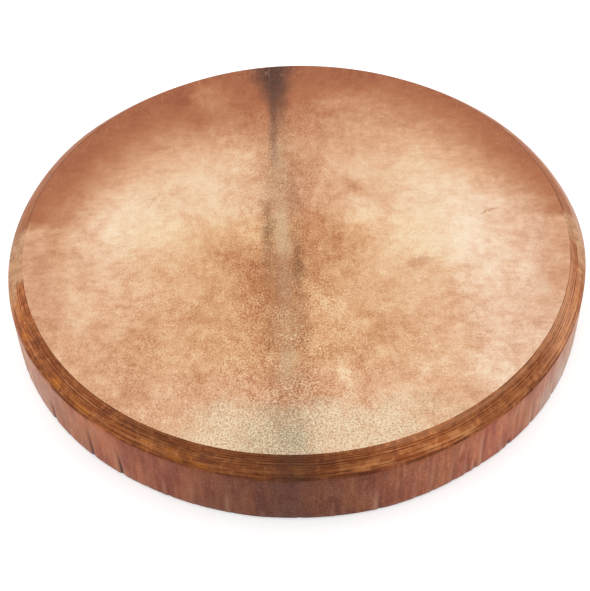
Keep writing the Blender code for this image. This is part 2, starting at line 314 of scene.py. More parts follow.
# Patches of the head: x and y in metres, radius, and how much paler or darker they are
PATCHES = (
    (-0.142, 0.016, 0.048, 0.23), (-0.076, 0.052, 0.036, 0.12), (-0.118, -0.006, 0.026, 0.10),
    (0.124, 0.002, 0.062, 0.19), (0.150, 0.050, 0.045, 0.05), (0.140, -0.034, 0.036, 0.09),
    (0.110, 0.078, 0.046, 0.16), (-0.060, 0.086, 0.034, 0.11), (-0.060, 0.022, 0.024, 0.10),
    (0.058, 0.022, 0.020, 0.21), (0.034, -0.162, 0.0105, 0.26), (0.146, -0.161, 0.022, 0.16),
    (-0.182, -0.099, 0.028, 0.10), (-0.168, -0.136, 0.018, 0.06), (-0.036, -0.188, 0.020, 0.06),
    (-0.110, 0.070, 0.060, 0.12), (0.190, -0.070, 0.050, 0.08), (-0.083, 0.192, 0.026, 0.19),
    (0.042, 0.176, 0.018, 0.08), (-0.062, 0.168, 0.018, 0.04), (0.073, -0.196, 0.034, 0.08),
    (0.031, -0.083, 0.024, 0.05), (0.098, -0.020, 0.018, 0.07), (0.052, 0.084, 0.026, 0.15),
    (-0.030, 0.044, 0.016, 0.10), (0.108, -0.146, 0.026, 0.10), (0.086, -0.078, 0.030, 0.08),
    (-0.066, -0.026, 0.018, -0.13), (-0.046, -0.032, 0.022, -0.11), (-0.034, -0.054, 0.028, -0.16),
    (-0.028, -0.080, 0.026, -0.10), (0.000, -0.034, 0.026, -0.16), (0.016, -0.004, 0.022, -0.18),
    (0.032, -0.028, 0.026, -0.14), (0.052, -0.014, 0.022, -0.12), (0.056, 0.050, 0.013, -0.12),
    (0.026, -0.060, 0.022, -0.10), (0.076, -0.070, 0.020, -0.06), (0.104, -0.042, 0.011, -0.08),
    (0.068, -0.114, 0.024, -0.10), (-0.135, -0.125, 0.020, -0.10), (-0.135, -0.156, 0.024, -0.08),
    (-0.068, -0.104, 0.036, -0.08), (-0.022, -0.134, 0.020, -0.08),
    (0.014, -0.170, 0.013, -0.10), (-0.032, -0.176, 0.013, -0.08), (-0.010, -0.182, 0.010, -0.06),
    (-0.118, -0.118, 0.020, -0.07), (-0.206, -0.112, 0.018, -0.09), (0.004, 0.016, 0.018, -0.11),
    (-0.104, 0.182, 0.018, -0.12), (-0.180, 0.076, 0.026, 0.04),
    (-0.088, 0.150, 0.024, -0.08), (0.006, 0.048, 0.040, -0.12), (0.010, 0.110, 0.050, -0.05),
    (0.060, 0.210, 0.030, -0.06), (0.196, -0.010, 0.024, -0.05), (-0.204, -0.034, 0.022, -0.08),
    (-0.192, 0.010, 0.030, -0.09), (-0.062, 0.002, 0.012, 0.03), (-0.120, -0.060, 0.018, 0.08),
    (-0.172, -0.116, 0.022, -0.10), (-0.140, -0.184, 0.012, -0.12), (-0.070, -0.186, 0.018, -0.07),
    (0.110, 0.006, 0.030, 0.09), (0.074, -0.046, 0.020, 0.07), (0.118, 0.058, 0.020, 0.08),
    (0.120, -0.102, 0.012, 0.09), (0.166, -0.126, 0.018, 0.08), (-0.100, 0.198, 0.016, -0.11),
    (-0.070, 0.076, 0.016, -0.07), (0.004, 0.082, 0.018, -0.08), (0.208, -0.060, 0.016, -0.07),
    (-0.136, -0.138, 0.014, 0.07), (-0.162, -0.062, 0.022, 0.06), (0.040, 0.052, 0.014, 0.06),
)
# Healed cuts in the hide: x, y, half of the length and of the width, degrees from the x axis, and strength
HEALED_CUTS = (
    (0.1707, 0.0165, 0.0090, 0.0016, 22, 0.62), (0.1037, -0.0430, 0.0125, 0.0048, 17, 0.46),
    (-0.1252, 0.0445, 0.0115, 0.0010, 67, 0.40),
)
# Small pale scars beside the stripe
PALE_SCARS = (
    (-0.0145, -0.1195), (-0.0060, -0.1240), (-0.0030, -0.1205), (0.0030, -0.1110), (-0.0200, -0.1860),
)


class SkinPlaces:
    """Where a point of the skin is: on the head, on the band over the chamfer, on the side or on the hem."""

    def __init__(self, shader):
        self.x, self.y, self.z = shader.parts(shader.place)
        self.flat = shader.vector(self.x, self.y, 0.0)
        self.turned = shader.vector(self.y, shader.add(self.x, 1.7), 0.0)
        squares = shader.add(shader.times(self.x, self.x), shader.times(self.y, self.y))
        self.radius = shader.math("SQRT", squares)
        safe = shader.math("MAXIMUM", self.radius, 0.001)
        self.east = shader.math("DIVIDE", self.x, safe)
        self.north = shader.math("DIVIDE", self.y, safe)
        slope_run = shader.less(self.radius, BEARING_EDGE)
        on_slope = shader.math("DIVIDE", slope_run, DRUM_RADIUS - BEARING_EDGE)
        below = shader.math("MAXIMUM", shader.less(SHOULDER, self.z), 0.0)
        self.across = shader.add(shader.math("MINIMUM", on_slope, 1.0),
                                 shader.math("DIVIDE", below, BAND_LENGTH))
        spine = shader.step(self.y, -0.2, 0.2, -0.0095, -0.0135)
        self.beside = shader.less(self.x, spine)
        self.from_spine = shader.math("ABSOLUTE", self.beside)

    def around(self, shader, per_turn, across=0.0, offset=0.0):
        """A place that goes round with the drum without a seam, for patterns that follow the rim."""
        return shader.vector(shader.times(self.east, per_turn), shader.times(self.north, per_turn),
                             shader.add(across, offset))


def crescent_share(shader, at):
    """1 in the dark crescent of painted shade along the far rim, 0 on the rest of the head."""
    inner = shader.add(shader.step(at.x, -0.10, 0.10, 0.187, 0.206), shader.step(at.y, 0.10, 0.01, 0.0, 0.024),
                       shader.near(at.x, -0.025, 0.100, -0.024), shader.wander(11, 0.008, 4, at.flat))
    crescent = shader.step(at.radius, shader.add(inner, -0.058), shader.add(inner, 0.036))
    end_reach = shader.step(at.x, -0.10, 0.10, 0.024, 0.014)
    ragged = shader.add(at.y, shader.wander(50, 0.006, 5, at.flat))
    return shader.times(crescent, shader.step(ragged, 0.003, end_reach))


def head_clouds(shader, at):
    """Mottling, strokes of the scraper and fine veins, as tone round 0."""
    sideways = shader.vector(shader.times(at.x, 0.50), shader.times(at.y, 1.25), 0.4)
    lengthways = shader.vector(shader.times(at.x, 1.25), shader.times(at.y, 0.60), 1.9)
    flank = shader.step(at.from_spine, 0.05, 0.12)
    strokes = shader.add(shader.times(flank, shader.wander(150, 0.085, 6, sideways)),
                         shader.times(shader.less(1.0, flank), shader.wander(140, 0.085, 6, lengthways)))
    drift = shader.add(at.x, shader.wander(40, 0.010, 3, at.turned))
    veins = shader.noise(46, 4, 0.6, shader.vector(drift, at.y, 0.7))
    veins = shader.times(shader.near(veins, 0.5, 0.014),
                         shader.step(shader.noise(20, 2, 0.5, at.turned), 0.45, 0.60))
    blotches = shader.times(shader.wander(46, 0.095, 5, at.turned), shader.step(at.y, 0.03, -0.11))
    return shader.add(shader.wander(24, 0.055, 5, at.flat), shader.wander(66, 0.095, 8, at.turned),
                      blotches, strokes, shader.times(veins, 0.09))


def head_tone(shader, at, crescent):
    """How pale the hide is from place to place, without its fine grain, less the crescent's painted shade."""
    shift_x = shader.add(shader.wander(16, 0.012, 4, at.flat), shader.wander(90, 0.007, 6, at.flat))
    shift_y = shader.add(shader.wander(16, 0.012, 4, at.turned), shader.wander(90, 0.007, 6, at.turned))
    cloudy = shader.vector(shader.add(at.x, shift_x), shader.add(at.y, shift_y), 0.0)
    tone = 0.558
    for x, y, radius, lift in PATCHES:
        away = shader.distance(cloudy, (x, y, 0.0))
        tone = shader.add(shader.step(away, radius * 1.5, 0.0, 0.0, lift), tone)
    back = shader.step(at.y, 0.02, 0.12, 0.0, -0.06)
    far_middle = shader.times(shader.near(at.y, 0.155, 0.055), shader.near(at.x, 0.0, 0.120), -0.13)
    near_middle = shader.times(shader.step(at.y, -0.02, -0.05), shader.step(at.y, -0.200, -0.180),
                               shader.near(at.x, -0.014, 0.055), -0.07)
    clouds = shader.times(head_clouds(shader, at), shader.step(crescent, 0.1, 0.9, 1.0, 0.42))
    # Painted shade: the crescent along the far rim is darkened, most towards the rim.
    shadow = shader.times(crescent, shader.step(at.radius, 0.15, 0.236, 0.30, 0.42))
    tone = shader.add(tone, shader.step(at.y, -0.02, -0.14, 0.0, -0.02), back, far_middle, near_middle, clouds)
    return shader.less(tone, shadow)


def flushed(shader, at, colour):
    """Warmer in the middle, paler and pinker over the flanks, rosy along the rim."""
    warm = shader.times(shader.near(at.x, -0.015, 0.185), shader.step(at.y, 0.035, 0.0),
                        shader.step(at.y, -0.185, -0.130))
    colour = shader.tinted(warm, colour, (1.0, 0.985, 0.87))
    open_rim = shader.math("MAXIMUM", shader.step(at.radius, 0.226, 0.206), shader.step(at.y, -0.07, -0.12))
    right = shader.times(shader.step(at.x, 0.112, 0.166), shader.step(at.y, 0.075, 0.015), open_rim, 0.92)
    colour = shader.tinted(right, colour, (1.08, 1.19, 1.37))
    left = shader.times(shader.step(at.radius, 0.138, 0.174), shader.step(at.radius, 0.208, 0.186),
                        shader.near(at.y, -0.005, 0.110), shader.step(at.x, -0.05, -0.10), 0.62)
    colour = shader.tinted(left, colour, (1.10, 1.20, 1.36))
    rim = shader.times(shader.step(at.radius, 0.196, 0.222), shader.step(at.y, 0.05, -0.02),
                       shader.step(at.y, -0.13, -0.07))
    return shader.tinted(rim, colour, (0.90, 0.83, 0.84))


def frosted(shader, at, colour, stubble):
    """The front of the head, where pale hair roots show, with a grey heart at the end of the stripe."""
    ragged_y = shader.add(at.y, shader.wander(26, 0.013, 7, at.flat), shader.near(at.x, -0.014, 0.040, 0.006),
                          shader.near(at.x, -0.055, 0.022, -0.008))
    ragged_x = shader.add(at.x, shader.wander(26, 0.024, 7, at.turned))
    frost = shader.times(shader.step(ragged_y, -0.179, -0.203),
                         shader.step(shader.math("ABSOLUTE", shader.less(ragged_x, 0.008)), 0.124, 0.066),
                         shader.step(shader.noise(70, 6, 0.7, at.turned), 0.34, 0.52, 0.45, 1.0))
    clumps = shader.noise(250, 4, 0.7, at.turned)
    light = shader.times(frost, shader.step(stubble, 0.34, 0.60, 0.22, 0.90),
                         shader.step(clumps, 0.34, 0.56, 0.62, 1.0))
    colour = shader.mix(light, colour, srgb(249, 230, 196))
    dark = shader.times(frost, shader.step(stubble, 0.48, 0.36, 0.0, 0.62))
    colour = shader.mix(dark, colour, srgb(172, 138, 102))
    ragged = shader.add(at.beside, shader.wander(70, 0.008, 5, at.flat))
    grey = shader.times(shader.near(ragged, -0.003, 0.036), shader.step(ragged_y, -0.172, -0.192),
                        shader.step(stubble, 0.58, 0.42, 0.20, 0.70))
    colour = shader.mix(grey, colour, srgb(150, 132, 104))
    cool = shader.add(shader.near(at.x, -0.006, 0.018), shader.near(at.x, -0.042, 0.022, 0.55))
    cool = shader.times(cool, shader.near(at.y, -0.222, 0.016),
                        shader.step(stubble, 0.56, 0.44, 0.15, 0.62))
    return shader.mix(cool, colour, srgb(156, 148, 122))


def striped(shader, at, colour, stubble, dark):
    """The stripe of the animal's back: speckled dark edges beside a paler core that comes and goes."""
    speckle = shader.noise(560, 4, 0.75, at.turned)
    fitful = shader.noise(34, 3, 0.6, shader.vector(at.x, at.y, 5.2))
    along = shader.add(at.y, shader.wander(26, 0.012, 5, at.flat))
    clear = shader.add(shader.near(along, -0.004, 0.058, 0.95), shader.near(along, -0.146, 0.032, 0.85),
                       shader.near(along, 0.085, 0.050, 0.45), 0.12)
    core = shader.add(at.from_spine, shader.wander(70, 0.004, 5, at.flat))
    core = shader.times(shader.step(core, 0.0100, 0.0015), clear, shader.step(at.y, -0.190, -0.165),
                        shader.step(speckle, 0.36, 0.58, 0.20, 0.75))
    colour = shader.mix(core, colour, srgb(210, 183, 148))
    low = shader.times(shader.step(at.from_spine, 0.0085, 0.0030), shader.near(along, -0.066, 0.056),
                       shader.step(speckle, 0.40, 0.60, 0.25, 0.75))
    colour = shader.mix(low, colour, srgb(196, 150, 118))

    ragged = shader.add(at.from_spine, shader.wander(60, 0.005, 6, at.flat))
    left_edge = shader.times(shader.math("LESS_THAN", at.beside, 0.0), shader.near(along, 0.000, 0.060, 0.85))
    right_edge = shader.times(shader.math("GREATER_THAN", at.beside, 0.0), shader.near(along, -0.040, 0.050, 0.95))
    edges = shader.times(shader.near(ragged, 0.0120, 0.0090), shader.step(at.y, -0.185, -0.150),
                         shader.add(left_edge, right_edge, shader.step(fitful, 0.60, 0.40, 0.15, 0.45)),
                         shader.step(at.y, 0.10, 0.04), shader.step(speckle, 0.62, 0.40, 0.05, 0.80))
    colour = shader.mix(edges, colour, srgb(126, 84, 54))
    veil = shader.times(shader.step(ragged, 0.026, 0.004), shader.step(at.y, -0.200, -0.165),
                        shader.step(at.y, 0.16, 0.08), shader.step(stubble, 0.60, 0.40, 0.10, 0.50),
                        shader.step(clear, 0.30, 0.90, 1.0, 0.30), 0.85)
    colour = shader.mix(veil, colour, srgb(146, 104, 72))

    thin = shader.near(shader.add(at.x, shader.wander(30, 0.0015, 3, at.flat)), -0.0175, 0.0065)
    thin = shader.times(thin, shader.step(at.y, 0.060, 0.13), shader.step(stubble, 0.62, 0.38, 0.35, 0.75))
    colour = shader.mix(thin, colour, srgb(116, 80, 64))
    wedge_x = shader.step(at.y, 0.15, 0.235, 0.0130, 0.0180)
    wedge_reach = shader.step(at.y, 0.15, 0.238, 0.0090, 0.0240)
    wedge = shader.math("DIVIDE", shader.math("ABSOLUTE", shader.add(at.x, wedge_x)), wedge_reach)
    wedge = shader.step(shader.add(wedge, shader.wander(50, 0.22, 6, at.flat)), 1.30, 0.20)
    wedge = shader.times(wedge, shader.step(at.y, 0.11, 0.225, 0.10, 1.0), shader.step(at.y, 0.10, 0.14))
    colour = shader.mix(wedge, colour, dark)
    hairline = shader.times(shader.near(at.x, -0.0205, 0.0008), shader.step(at.y, 0.18, 0.22, 0.0, 0.14))
    return shader.mix(hairline, colour, srgb(186, 146, 124))


def mottled(shader, at, crescent):
    """Small blots with clear edges, as a wet hide dries, larger ones and smaller ones."""
    blots = shader.step(shader.noise(58, 5, 0.62, at.flat), 0.488, 0.528, -0.5, 0.5)
    dots = shader.step(shader.noise(125, 4, 0.62, at.turned), 0.540, 0.580, 0.15, -0.85)
    flecks = shader.step(shader.noise(95, 5, 0.66, at.turned), 0.570, 0.620, -0.1, 0.9)
    blots = shader.add(shader.times(blots, 0.050), shader.times(dots, 0.040), shader.times(flecks, 0.045))
    return shader.times(blots, shader.step(crescent, 0.2, 0.9, 1.0, 0.45),
                        shader.step(at.y, 0.02, 0.10, 1.0, 0.62))


def marked(shader, at, colour):
    """Fine wrinkles, pores, pale scars beside the stripe and thin scratches near the far rim."""
    wrinkled = shader.vector(shader.times(at.x, 0.45), at.y, 3.1)
    wrinkles = shader.times(shader.near(shader.noise(85, 4, 0.60, wrinkled), 0.5, 0.012),
                            shader.step(shader.noise(32, 2, 0.5, at.turned), 0.48, 0.62), 0.30)
    colour = shader.mix(wrinkles, colour, srgb(186, 134, 96))
    pores = shader.times(shader.step(shader.cells(330, at.flat), 0.20, 0.05),
                         shader.step(shader.noise(75, 3, 0.6, at.turned), 0.46, 0.62, 0.0, 0.6))
    colour = shader.mix(pores, colour, srgb(140, 92, 60))
    healed = 0.0
    uneven_x = shader.add(at.x, shader.wander(210, 0.0030, 3, at.flat))
    uneven_y = shader.add(at.y, shader.wander(210, 0.0020, 3, at.turned))
    for x, y, length, width, turn, strength in HEALED_CUTS:
        cos, sin = math.cos(math.radians(turn)), math.sin(math.radians(turn))
        east, north = shader.less(uneven_x, x), shader.less(uneven_y, y)
        along = shader.add(shader.times(east, cos / length), shader.times(north, sin / length))
        beside = shader.add(shader.times(north, cos / width), shader.times(east, -sin / width))
        away = shader.distance(shader.vector(along, beside, 0.0), (0.0, 0.0, 0.0))
        healed = shader.add(shader.step(away, 1.20, 0.75, 0.0, strength), healed)
    colour = shader.mix(healed, colour, srgb(196, 136, 94))
    scars = 0.0
    for x, y in PALE_SCARS:
        scars = shader.add(shader.step(shader.distance(at.flat, (x, y, 0.0)), 0.0017, 0.0004), scars)
    colour = shader.mix(shader.times(scars, 0.55), colour, srgb(250, 226, 194))
    scratches = shader.noise(46, 2, 0.5, shader.vector(shader.times(at.x, 5.0), shader.times(at.y, 0.9), 0.3))
    scratches = shader.times(shader.near(scratches, 0.5, 0.007), shader.step(at.radius, 0.20, 0.23),
                             shader.step(at.y, 0.02, 0.08, 0.0, 0.6))
    return shader.mix(scratches, colour, srgb(220, 168, 132))


def head_colour(shader, at, settings):
    """Cloudy hide: pale flanks, tan middle, russet crescent of painted shade at the far rim, dark back stripe, frosty
    front.
    """
    crescent = crescent_share(shader, at)
    stubble = shader.add(shader.noise(640, 5, 0.80, at.flat), shader.times(shader.specks(580, at.turned), 0.22),
                         -0.04)
    pepper = shader.less(shader.step(stubble, 0.36, 0.64), 0.5)
    roots = shader.less(shader.specks(470, at.flat), 0.18)
    grain = shader.add(shader.step(at.y, 0.12, -0.17, 0.07, 0.25),
                       shader.step(at.from_spine, 0.075, 0.005, 0.0, 0.16))
    sides = shader.step(shader.math("ABSOLUTE", at.x), 0.11, 0.19, 1.0, 0.55)
    smooth_right = shader.times(shader.step(at.x, 0.03, 0.13), shader.step(at.y, 0.0, -0.06), -0.50)
    grain = shader.times(grain, sides, shader.step(crescent, 0.0, 0.9, 1.0, 0.5),
                         shader.step(shader.noise(42, 4, 0.6, at.turned), 0.36, 0.64, 0.70, 1.35))
    clots = shader.less(shader.noise(150, 4, 0.70, at.turned), 0.5)
    tone = shader.add(head_tone(shader, at, crescent), shader.times(roots, grain, -0.55),
                      shader.times(pepper, grain, shader.add(smooth_right, 1.0)),
                      shader.times(clots, shader.add(grain, 0.03)), mottled(shader, at, crescent))
    colour = shader.ramp(tone, (0.0, tuple(settings.russet)), (0.18, tuple(settings.rust)),
                         (0.38, tuple(settings.tan)), (0.58, tuple(settings.peach)),
                         (0.80, tuple(settings.cream)), (1.0, srgb(255, 232, 200)))
    colour = flushed(shader, at, colour)
    colour = frosted(shader, at, colour, stubble)
    colour = striped(shader, at, colour, stubble, tuple(settings.stripe))
    return marked(shader, at, colour)


# Golden spots where the stain is worn off the outer edge of the band: x, y and radius in metres
WORN_SPOTS = (
    (-0.0957, -0.2321, 0.0075), (-0.0765, -0.2385, 0.0075), (-0.1200, -0.2219, 0.0070), (-0.1690, -0.1805, 0.0110),
    (-0.0031, -0.2470, 0.0050), (0.0613, -0.2410, 0.0085), (0.0440, -0.2470, 0.0080), (0.1237, -0.2150, 0.0095),
)
# Dark rings of the band: where they lie across it, from 0 inside to 1 outside, how wide and how strong
PLY_SHADOWS = (
    (0.02, 0.040, 0.75), (0.13, 0.030, 0.55), (0.235, 0.030, 0.75), (0.325, 0.034, 0.85), (0.445, 0.036, 0.90),
    (0.555, 0.030, 0.50), (0.66, 0.028, 0.50), (0.845, 0.036, 0.90), (0.915, 0.026, 0.40), (0.990, 0.040, 0.90),
)


def band_wood(shader, at, settings, across, outer_half, mottle, streaks, pale_end):
    """Stained hide over the plies: brown streaks, golden stains in the outer half and pale lines."""
    stains = shader.noise(1.0, 3, 0.6, at.around(shader, 15.0, at.across, 4.3))
    colour = shader.mix(shader.step(streaks, 0.36, 0.64), srgb(132, 65, 28), tuple(settings.band))
    colour = shader.mix(shader.step(mottle, 0.50, 0.68, 0.0, 0.70), colour, srgb(204, 132, 78))
    colour = shader.mix(shader.step(mottle, 0.48, 0.32, 0.0, 0.60), colour, srgb(90, 44, 24))
    colour = shader.mix(shader.step(stains, 0.46, 0.30, 0.0, 0.40), colour, srgb(98, 50, 40))
    gold = shader.times(shader.step(stains, 0.50, 0.66), outer_half, shader.step(across, 0.97, 0.86), 0.60)
    golden = shader.mix(shader.step(at.x, -0.04, 0.08), srgb(206, 124, 42), srgb(206, 140, 88))
    colour = shader.mix(gold, colour, golden)
    worn = 0.0
    for x, y, radius in WORN_SPOTS:
        worn = shader.add(shader.step(shader.distance(at.flat, (x, y, 0.0)), radius, radius * 0.35), worn)
    worn = shader.times(worn, shader.near(across, 0.83, 0.15), 0.80)
    colour = shader.mix(worn, colour, golden)
    fitful = shader.noise(1.0, 5, 0.7, at.around(shader, 13.0, shader.times(at.across, 3.0), 8.8))
    inner_line = shader.times(shader.near(across, 0.385, 0.050), shader.step(fitful, 0.48, 0.62, 0.0, 0.60))
    outer_line = shader.times(shader.near(across, 0.740, 0.055), shader.step(fitful, 0.58, 0.44, 0.0, 0.45))
    colour = shader.mix(shader.add(inner_line, outer_line), colour, srgb(202, 134, 88))
    colour = shader.mix(pale_end, colour, srgb(206, 152, 116))
    edges = shader.noise(1.0, 4, 0.75, at.around(shader, 10.0, shader.times(across, 46.0), 2.6))
    colour = shader.mix(shader.step(edges, 0.47, 0.34, 0.0, 0.60), colour, srgb(92, 42, 20))
    colour = shader.mix(shader.step(edges, 0.55, 0.68, 0.0, 0.50), colour, srgb(206, 134, 82))
    for place, width, strength in PLY_SHADOWS:
        broken = shader.noise(1.0, 5, 0.7, at.around(shader, 11.0, 0.0, place * 31))
        line = shader.times(shader.near(across, place, width), shader.step(broken, 0.40, 0.54, 0.12, 1.0))
        colour = shader.mix(shader.times(line, strength), colour, srgb(78, 34, 14))
    return colour


def band_colour(shader, at, settings):
    """The slope over the chamfer: the plies show through as dark rings, with bare hide at the ends, and painted shade
    over the front middle.
    """
    streaks = shader.noise(1.0, 5, 0.70, at.around(shader, 7.0, shader.times(at.across, 12.0)))
    mottle = shader.noise(1.0, 6, 0.75, at.around(shader, 38.0, shader.times(at.across, 2.6)))
    waver = shader.less(shader.noise(1.0, 3, 0.6, at.around(shader, 6.0)), 0.5)
    across = shader.add(at.across, shader.times(waver, 0.12))
    outer_half = shader.step(across, 0.42, 0.60)
    front = shader.step(at.y, 0.05, -0.05)
    pale_end = shader.add(shader.near(at.x, 0.216, 0.034, 0.42), shader.step(at.x, -0.224, -0.245, 0.0, 0.20))
    pale_end = shader.times(pale_end, front)
    colour = band_wood(shader, at, settings, across, outer_half, mottle, streaks, pale_end)

    # Painted shade and light: the front of the band is darkened about its middle and brightened towards both ends.
    from_middle = shader.math("ABSOLUTE", shader.add(at.x, 0.018))
    painted_shading = shader.add(shader.step(from_middle, 0.000, 0.150, 0.67, 1.12), shader.near(at.x, 0.080, 0.070, 0.36),
                       shader.step(at.x, -0.20, -0.24, 0.0, 0.42), shader.step(at.x, 0.18, 0.22, 0.0, 0.40),
                       shader.near(at.x, -0.070, 0.040, 0.08),
                       shader.times(shader.near(at.x, -0.115, 0.060, -0.22), shader.less(1.0, outer_half)))
    colour = shader.brighten(shader.add(shader.times(shader.less(painted_shading, 1.0), front), 1.0), colour)
    worn = shader.times(shader.near(at.across, 0.14, 0.16), shader.step(at.x, 0.03, 0.09), front, 0.26)
    colour = shader.mix(worn, colour, srgb(214, 164, 124))
    stripe = shader.times(shader.near(at.x, -0.0080, 0.026), shader.step(streaks, 0.3, 0.6, 0.2, 0.60))
    colour = shader.mix(stripe, colour, srgb(66, 44, 38))

    ragged = shader.add(at.y, shader.times(shader.less(mottle, 0.5), 0.012))
    left = shader.math("LESS_THAN", at.x, 0.0)
    left_gap = shader.step(ragged, shader.step(outer_half, 0.0, 1.0, -0.052, -0.085),
                           shader.step(outer_half, 0.0, 1.0, -0.046, -0.050))
    right_gap = shader.step(ragged, shader.step(outer_half, 0.0, 1.0, -0.030, -0.080),
                            shader.step(outer_half, 0.0, 1.0, -0.010, -0.035))
    gap = shader.add(shader.times(left, left_gap), shader.times(shader.less(1.0, left), right_gap))
    gap = shader.times(gap, shader.step(ragged, 0.018, 0.008), 0.86)
    bare = shader.mix(shader.step(mottle, 0.36, 0.62), srgb(184, 130, 90), srgb(222, 174, 134))
    colour = shader.mix(gap, colour, bare)
    back = shader.step(ragged, 0.008, 0.020)
    colour = shader.mix(shader.times(back, 0.50), colour, srgb(196, 124, 84))
    edge_line = shader.times(shader.near(across, 0.03, 0.12), back, 0.7)
    colour = shader.mix(edge_line, colour, srgb(110, 62, 44))
    # Painted highlight: a pale line along the outer lip of the band at the back, palest on the right.
    lip_highlight = shader.times(shader.step(across, 0.55, 0.92), shader.step(at.y, -0.05, 0.02), 0.65)
    lip_highlight_tone = shader.mix(shader.step(at.x, 0.12, -0.12), srgb(226, 186, 166), srgb(176, 136, 112))
    return shader.mix(lip_highlight, colour, lip_highlight_tone)


def side_colour(shader, at, settings, creased, ridged):
    """The outside of the hoop: rosy brown in soft upright patches, painted shade in the creases and over the front
    middle, painted highlights on the fold crests and a painted glint, with painted sheen at the ends.
    """
    sway = shader.times(shader.wander(40, 0.5, 3), 0.05)
    patches = shader.noise(1.0, 4, 0.62, at.around(shader, 15.0, shader.add(shader.times(at.z, 15.0), sway)))
    warmth = shader.noise(1.0, 3, 0.60, at.around(shader, 10.0, shader.times(at.z, 9.0), 6.4))
    strands = shader.noise(1.0, 5, 0.68, at.around(shader, 60.0, shader.times(at.z, 30.0), sway))
    hairs = shader.noise(1.0, 4, 0.65, at.around(shader, 160.0, shader.times(at.z, 60.0)))
    dust = shader.noise(520, 4, 0.80)
    streaky = shader.step(at.x, -0.12, 0.10, 0.40, 0.72)
    colour = shader.mix(shader.step(patches, 0.38, 0.62), srgb(152, 80, 58), tuple(settings.side))
    colour = shader.mix(shader.step(warmth, 0.50, 0.64, 0.0, 0.50), colour, srgb(180, 120, 80))
    colour = shader.mix(shader.step(warmth, 0.46, 0.34, 0.0, 0.50), colour, srgb(162, 82, 68))
    pale_strands = shader.times(shader.step(strands, 0.53, 0.66), streaky, 0.65)
    colour = shader.mix(pale_strands, colour, srgb(212, 150, 114))
    dark_strands = shader.times(shader.step(strands, 0.47, 0.34), streaky, 0.55)
    colour = shader.mix(dark_strands, colour, srgb(120, 60, 46))
    colour = shader.mix(shader.times(shader.step(hairs, 0.57, 0.71), streaky, 0.50), colour, srgb(222, 168, 134))
    colour = shader.mix(shader.times(shader.step(hairs, 0.43, 0.29), streaky, 0.45), colour, srgb(116, 60, 46))
    front = shader.step(at.y, 0.10, -0.05)
    dusty = shader.add(shader.times(shader.near(at.x, 0.0, 0.170, 0.50), front), 0.16)
    colour = shader.mix(shader.times(shader.step(dust, 0.52, 0.66), dusty), colour, srgb(220, 164, 134))
    colour = shader.mix(shader.times(shader.step(dust, 0.48, 0.34), dusty), colour, srgb(104, 54, 40))

    # Partly the dark back stripe running down the side, partly painted shade and light: the front is darkened about
    # its middle and brightened towards the ends.
    from_middle = shader.math("ABSOLUTE", shader.add(at.x, 0.015))
    painted_shading = shader.add(shader.step(from_middle, 0.0, 0.165, 0.49, 1.22), shader.near(at.x, 0.135, 0.045, 0.12))
    colour = shader.brighten(shader.add(shader.times(shader.less(painted_shading, 1.0), front), 1.0), colour)
    # Painted sheen: the ends of the side's front, where it turns away from view, are mixed paler.
    pale_end = shader.times(shader.step(shader.math("ABSOLUTE", at.x), 0.165, 0.240), front, 0.40)
    colour = shader.mix(pale_end, colour, srgb(226, 180, 148))
    ruddy = shader.times(shader.step(shader.math("ABSOLUTE", at.x), 0.225, 0.165), front)
    colour = shader.tinted(ruddy, colour, (1.03, 0.90, 0.76))
    # Painted highlight: a near-white glint low on the right end of the side's front.
    painted_glint = shader.times(shader.near(at.x, 0.212, 0.038), shader.step(at.z, 0.048, 0.006), front,
                            shader.step(strands, 0.40, 0.58, 0.26, 0.70), shader.step(patches, 0.62, 0.46, 0.60, 1.0))
    colour = shader.mix(painted_glint, colour, srgb(232, 214, 198))
    colour = shader.tinted(shader.times(shader.step(at.x, 0.220, 0.240), front), colour, (0.94, 0.86, 0.77))
    # Painted shade: the top of the side's front, just under the band, is darkened.
    painted_shade_under_band = shader.times(shader.step(at.z, 0.034, 0.048), shader.near(at.x, 0.010, 0.210), front)
    colour = shader.tinted(painted_shade_under_band, colour, (0.91, 0.86, 0.84))
    colour = shader.mix(shader.near(at.x, -0.0130, 0.026, 0.30), colour, srgb(86, 56, 48))
    # Painted highlight along the fold crests, then painted shade in the creases, darker still low down towards the
    # foot.
    colour = shader.mix(shader.times(ridged, 0.50), colour, srgb(222, 168, 136))
    colour = shader.mix(shader.math("MINIMUM", shader.times(creased, 0.9), 0.70), colour, srgb(112, 50, 34))
    crease_shade_at_foot = shader.times(shader.step(creased, 0.30, 0.90, 0.0, 0.90), shader.step(at.z, 0.026, 0.006, 0.15, 1.0))
    colour = shader.mix(crease_shade_at_foot, colour, srgb(52, 24, 18))
    return shader.mix(shader.step(at.z, 0.0046, 0.0006, 0.0, 0.50), colour, srgb(70, 42, 34))


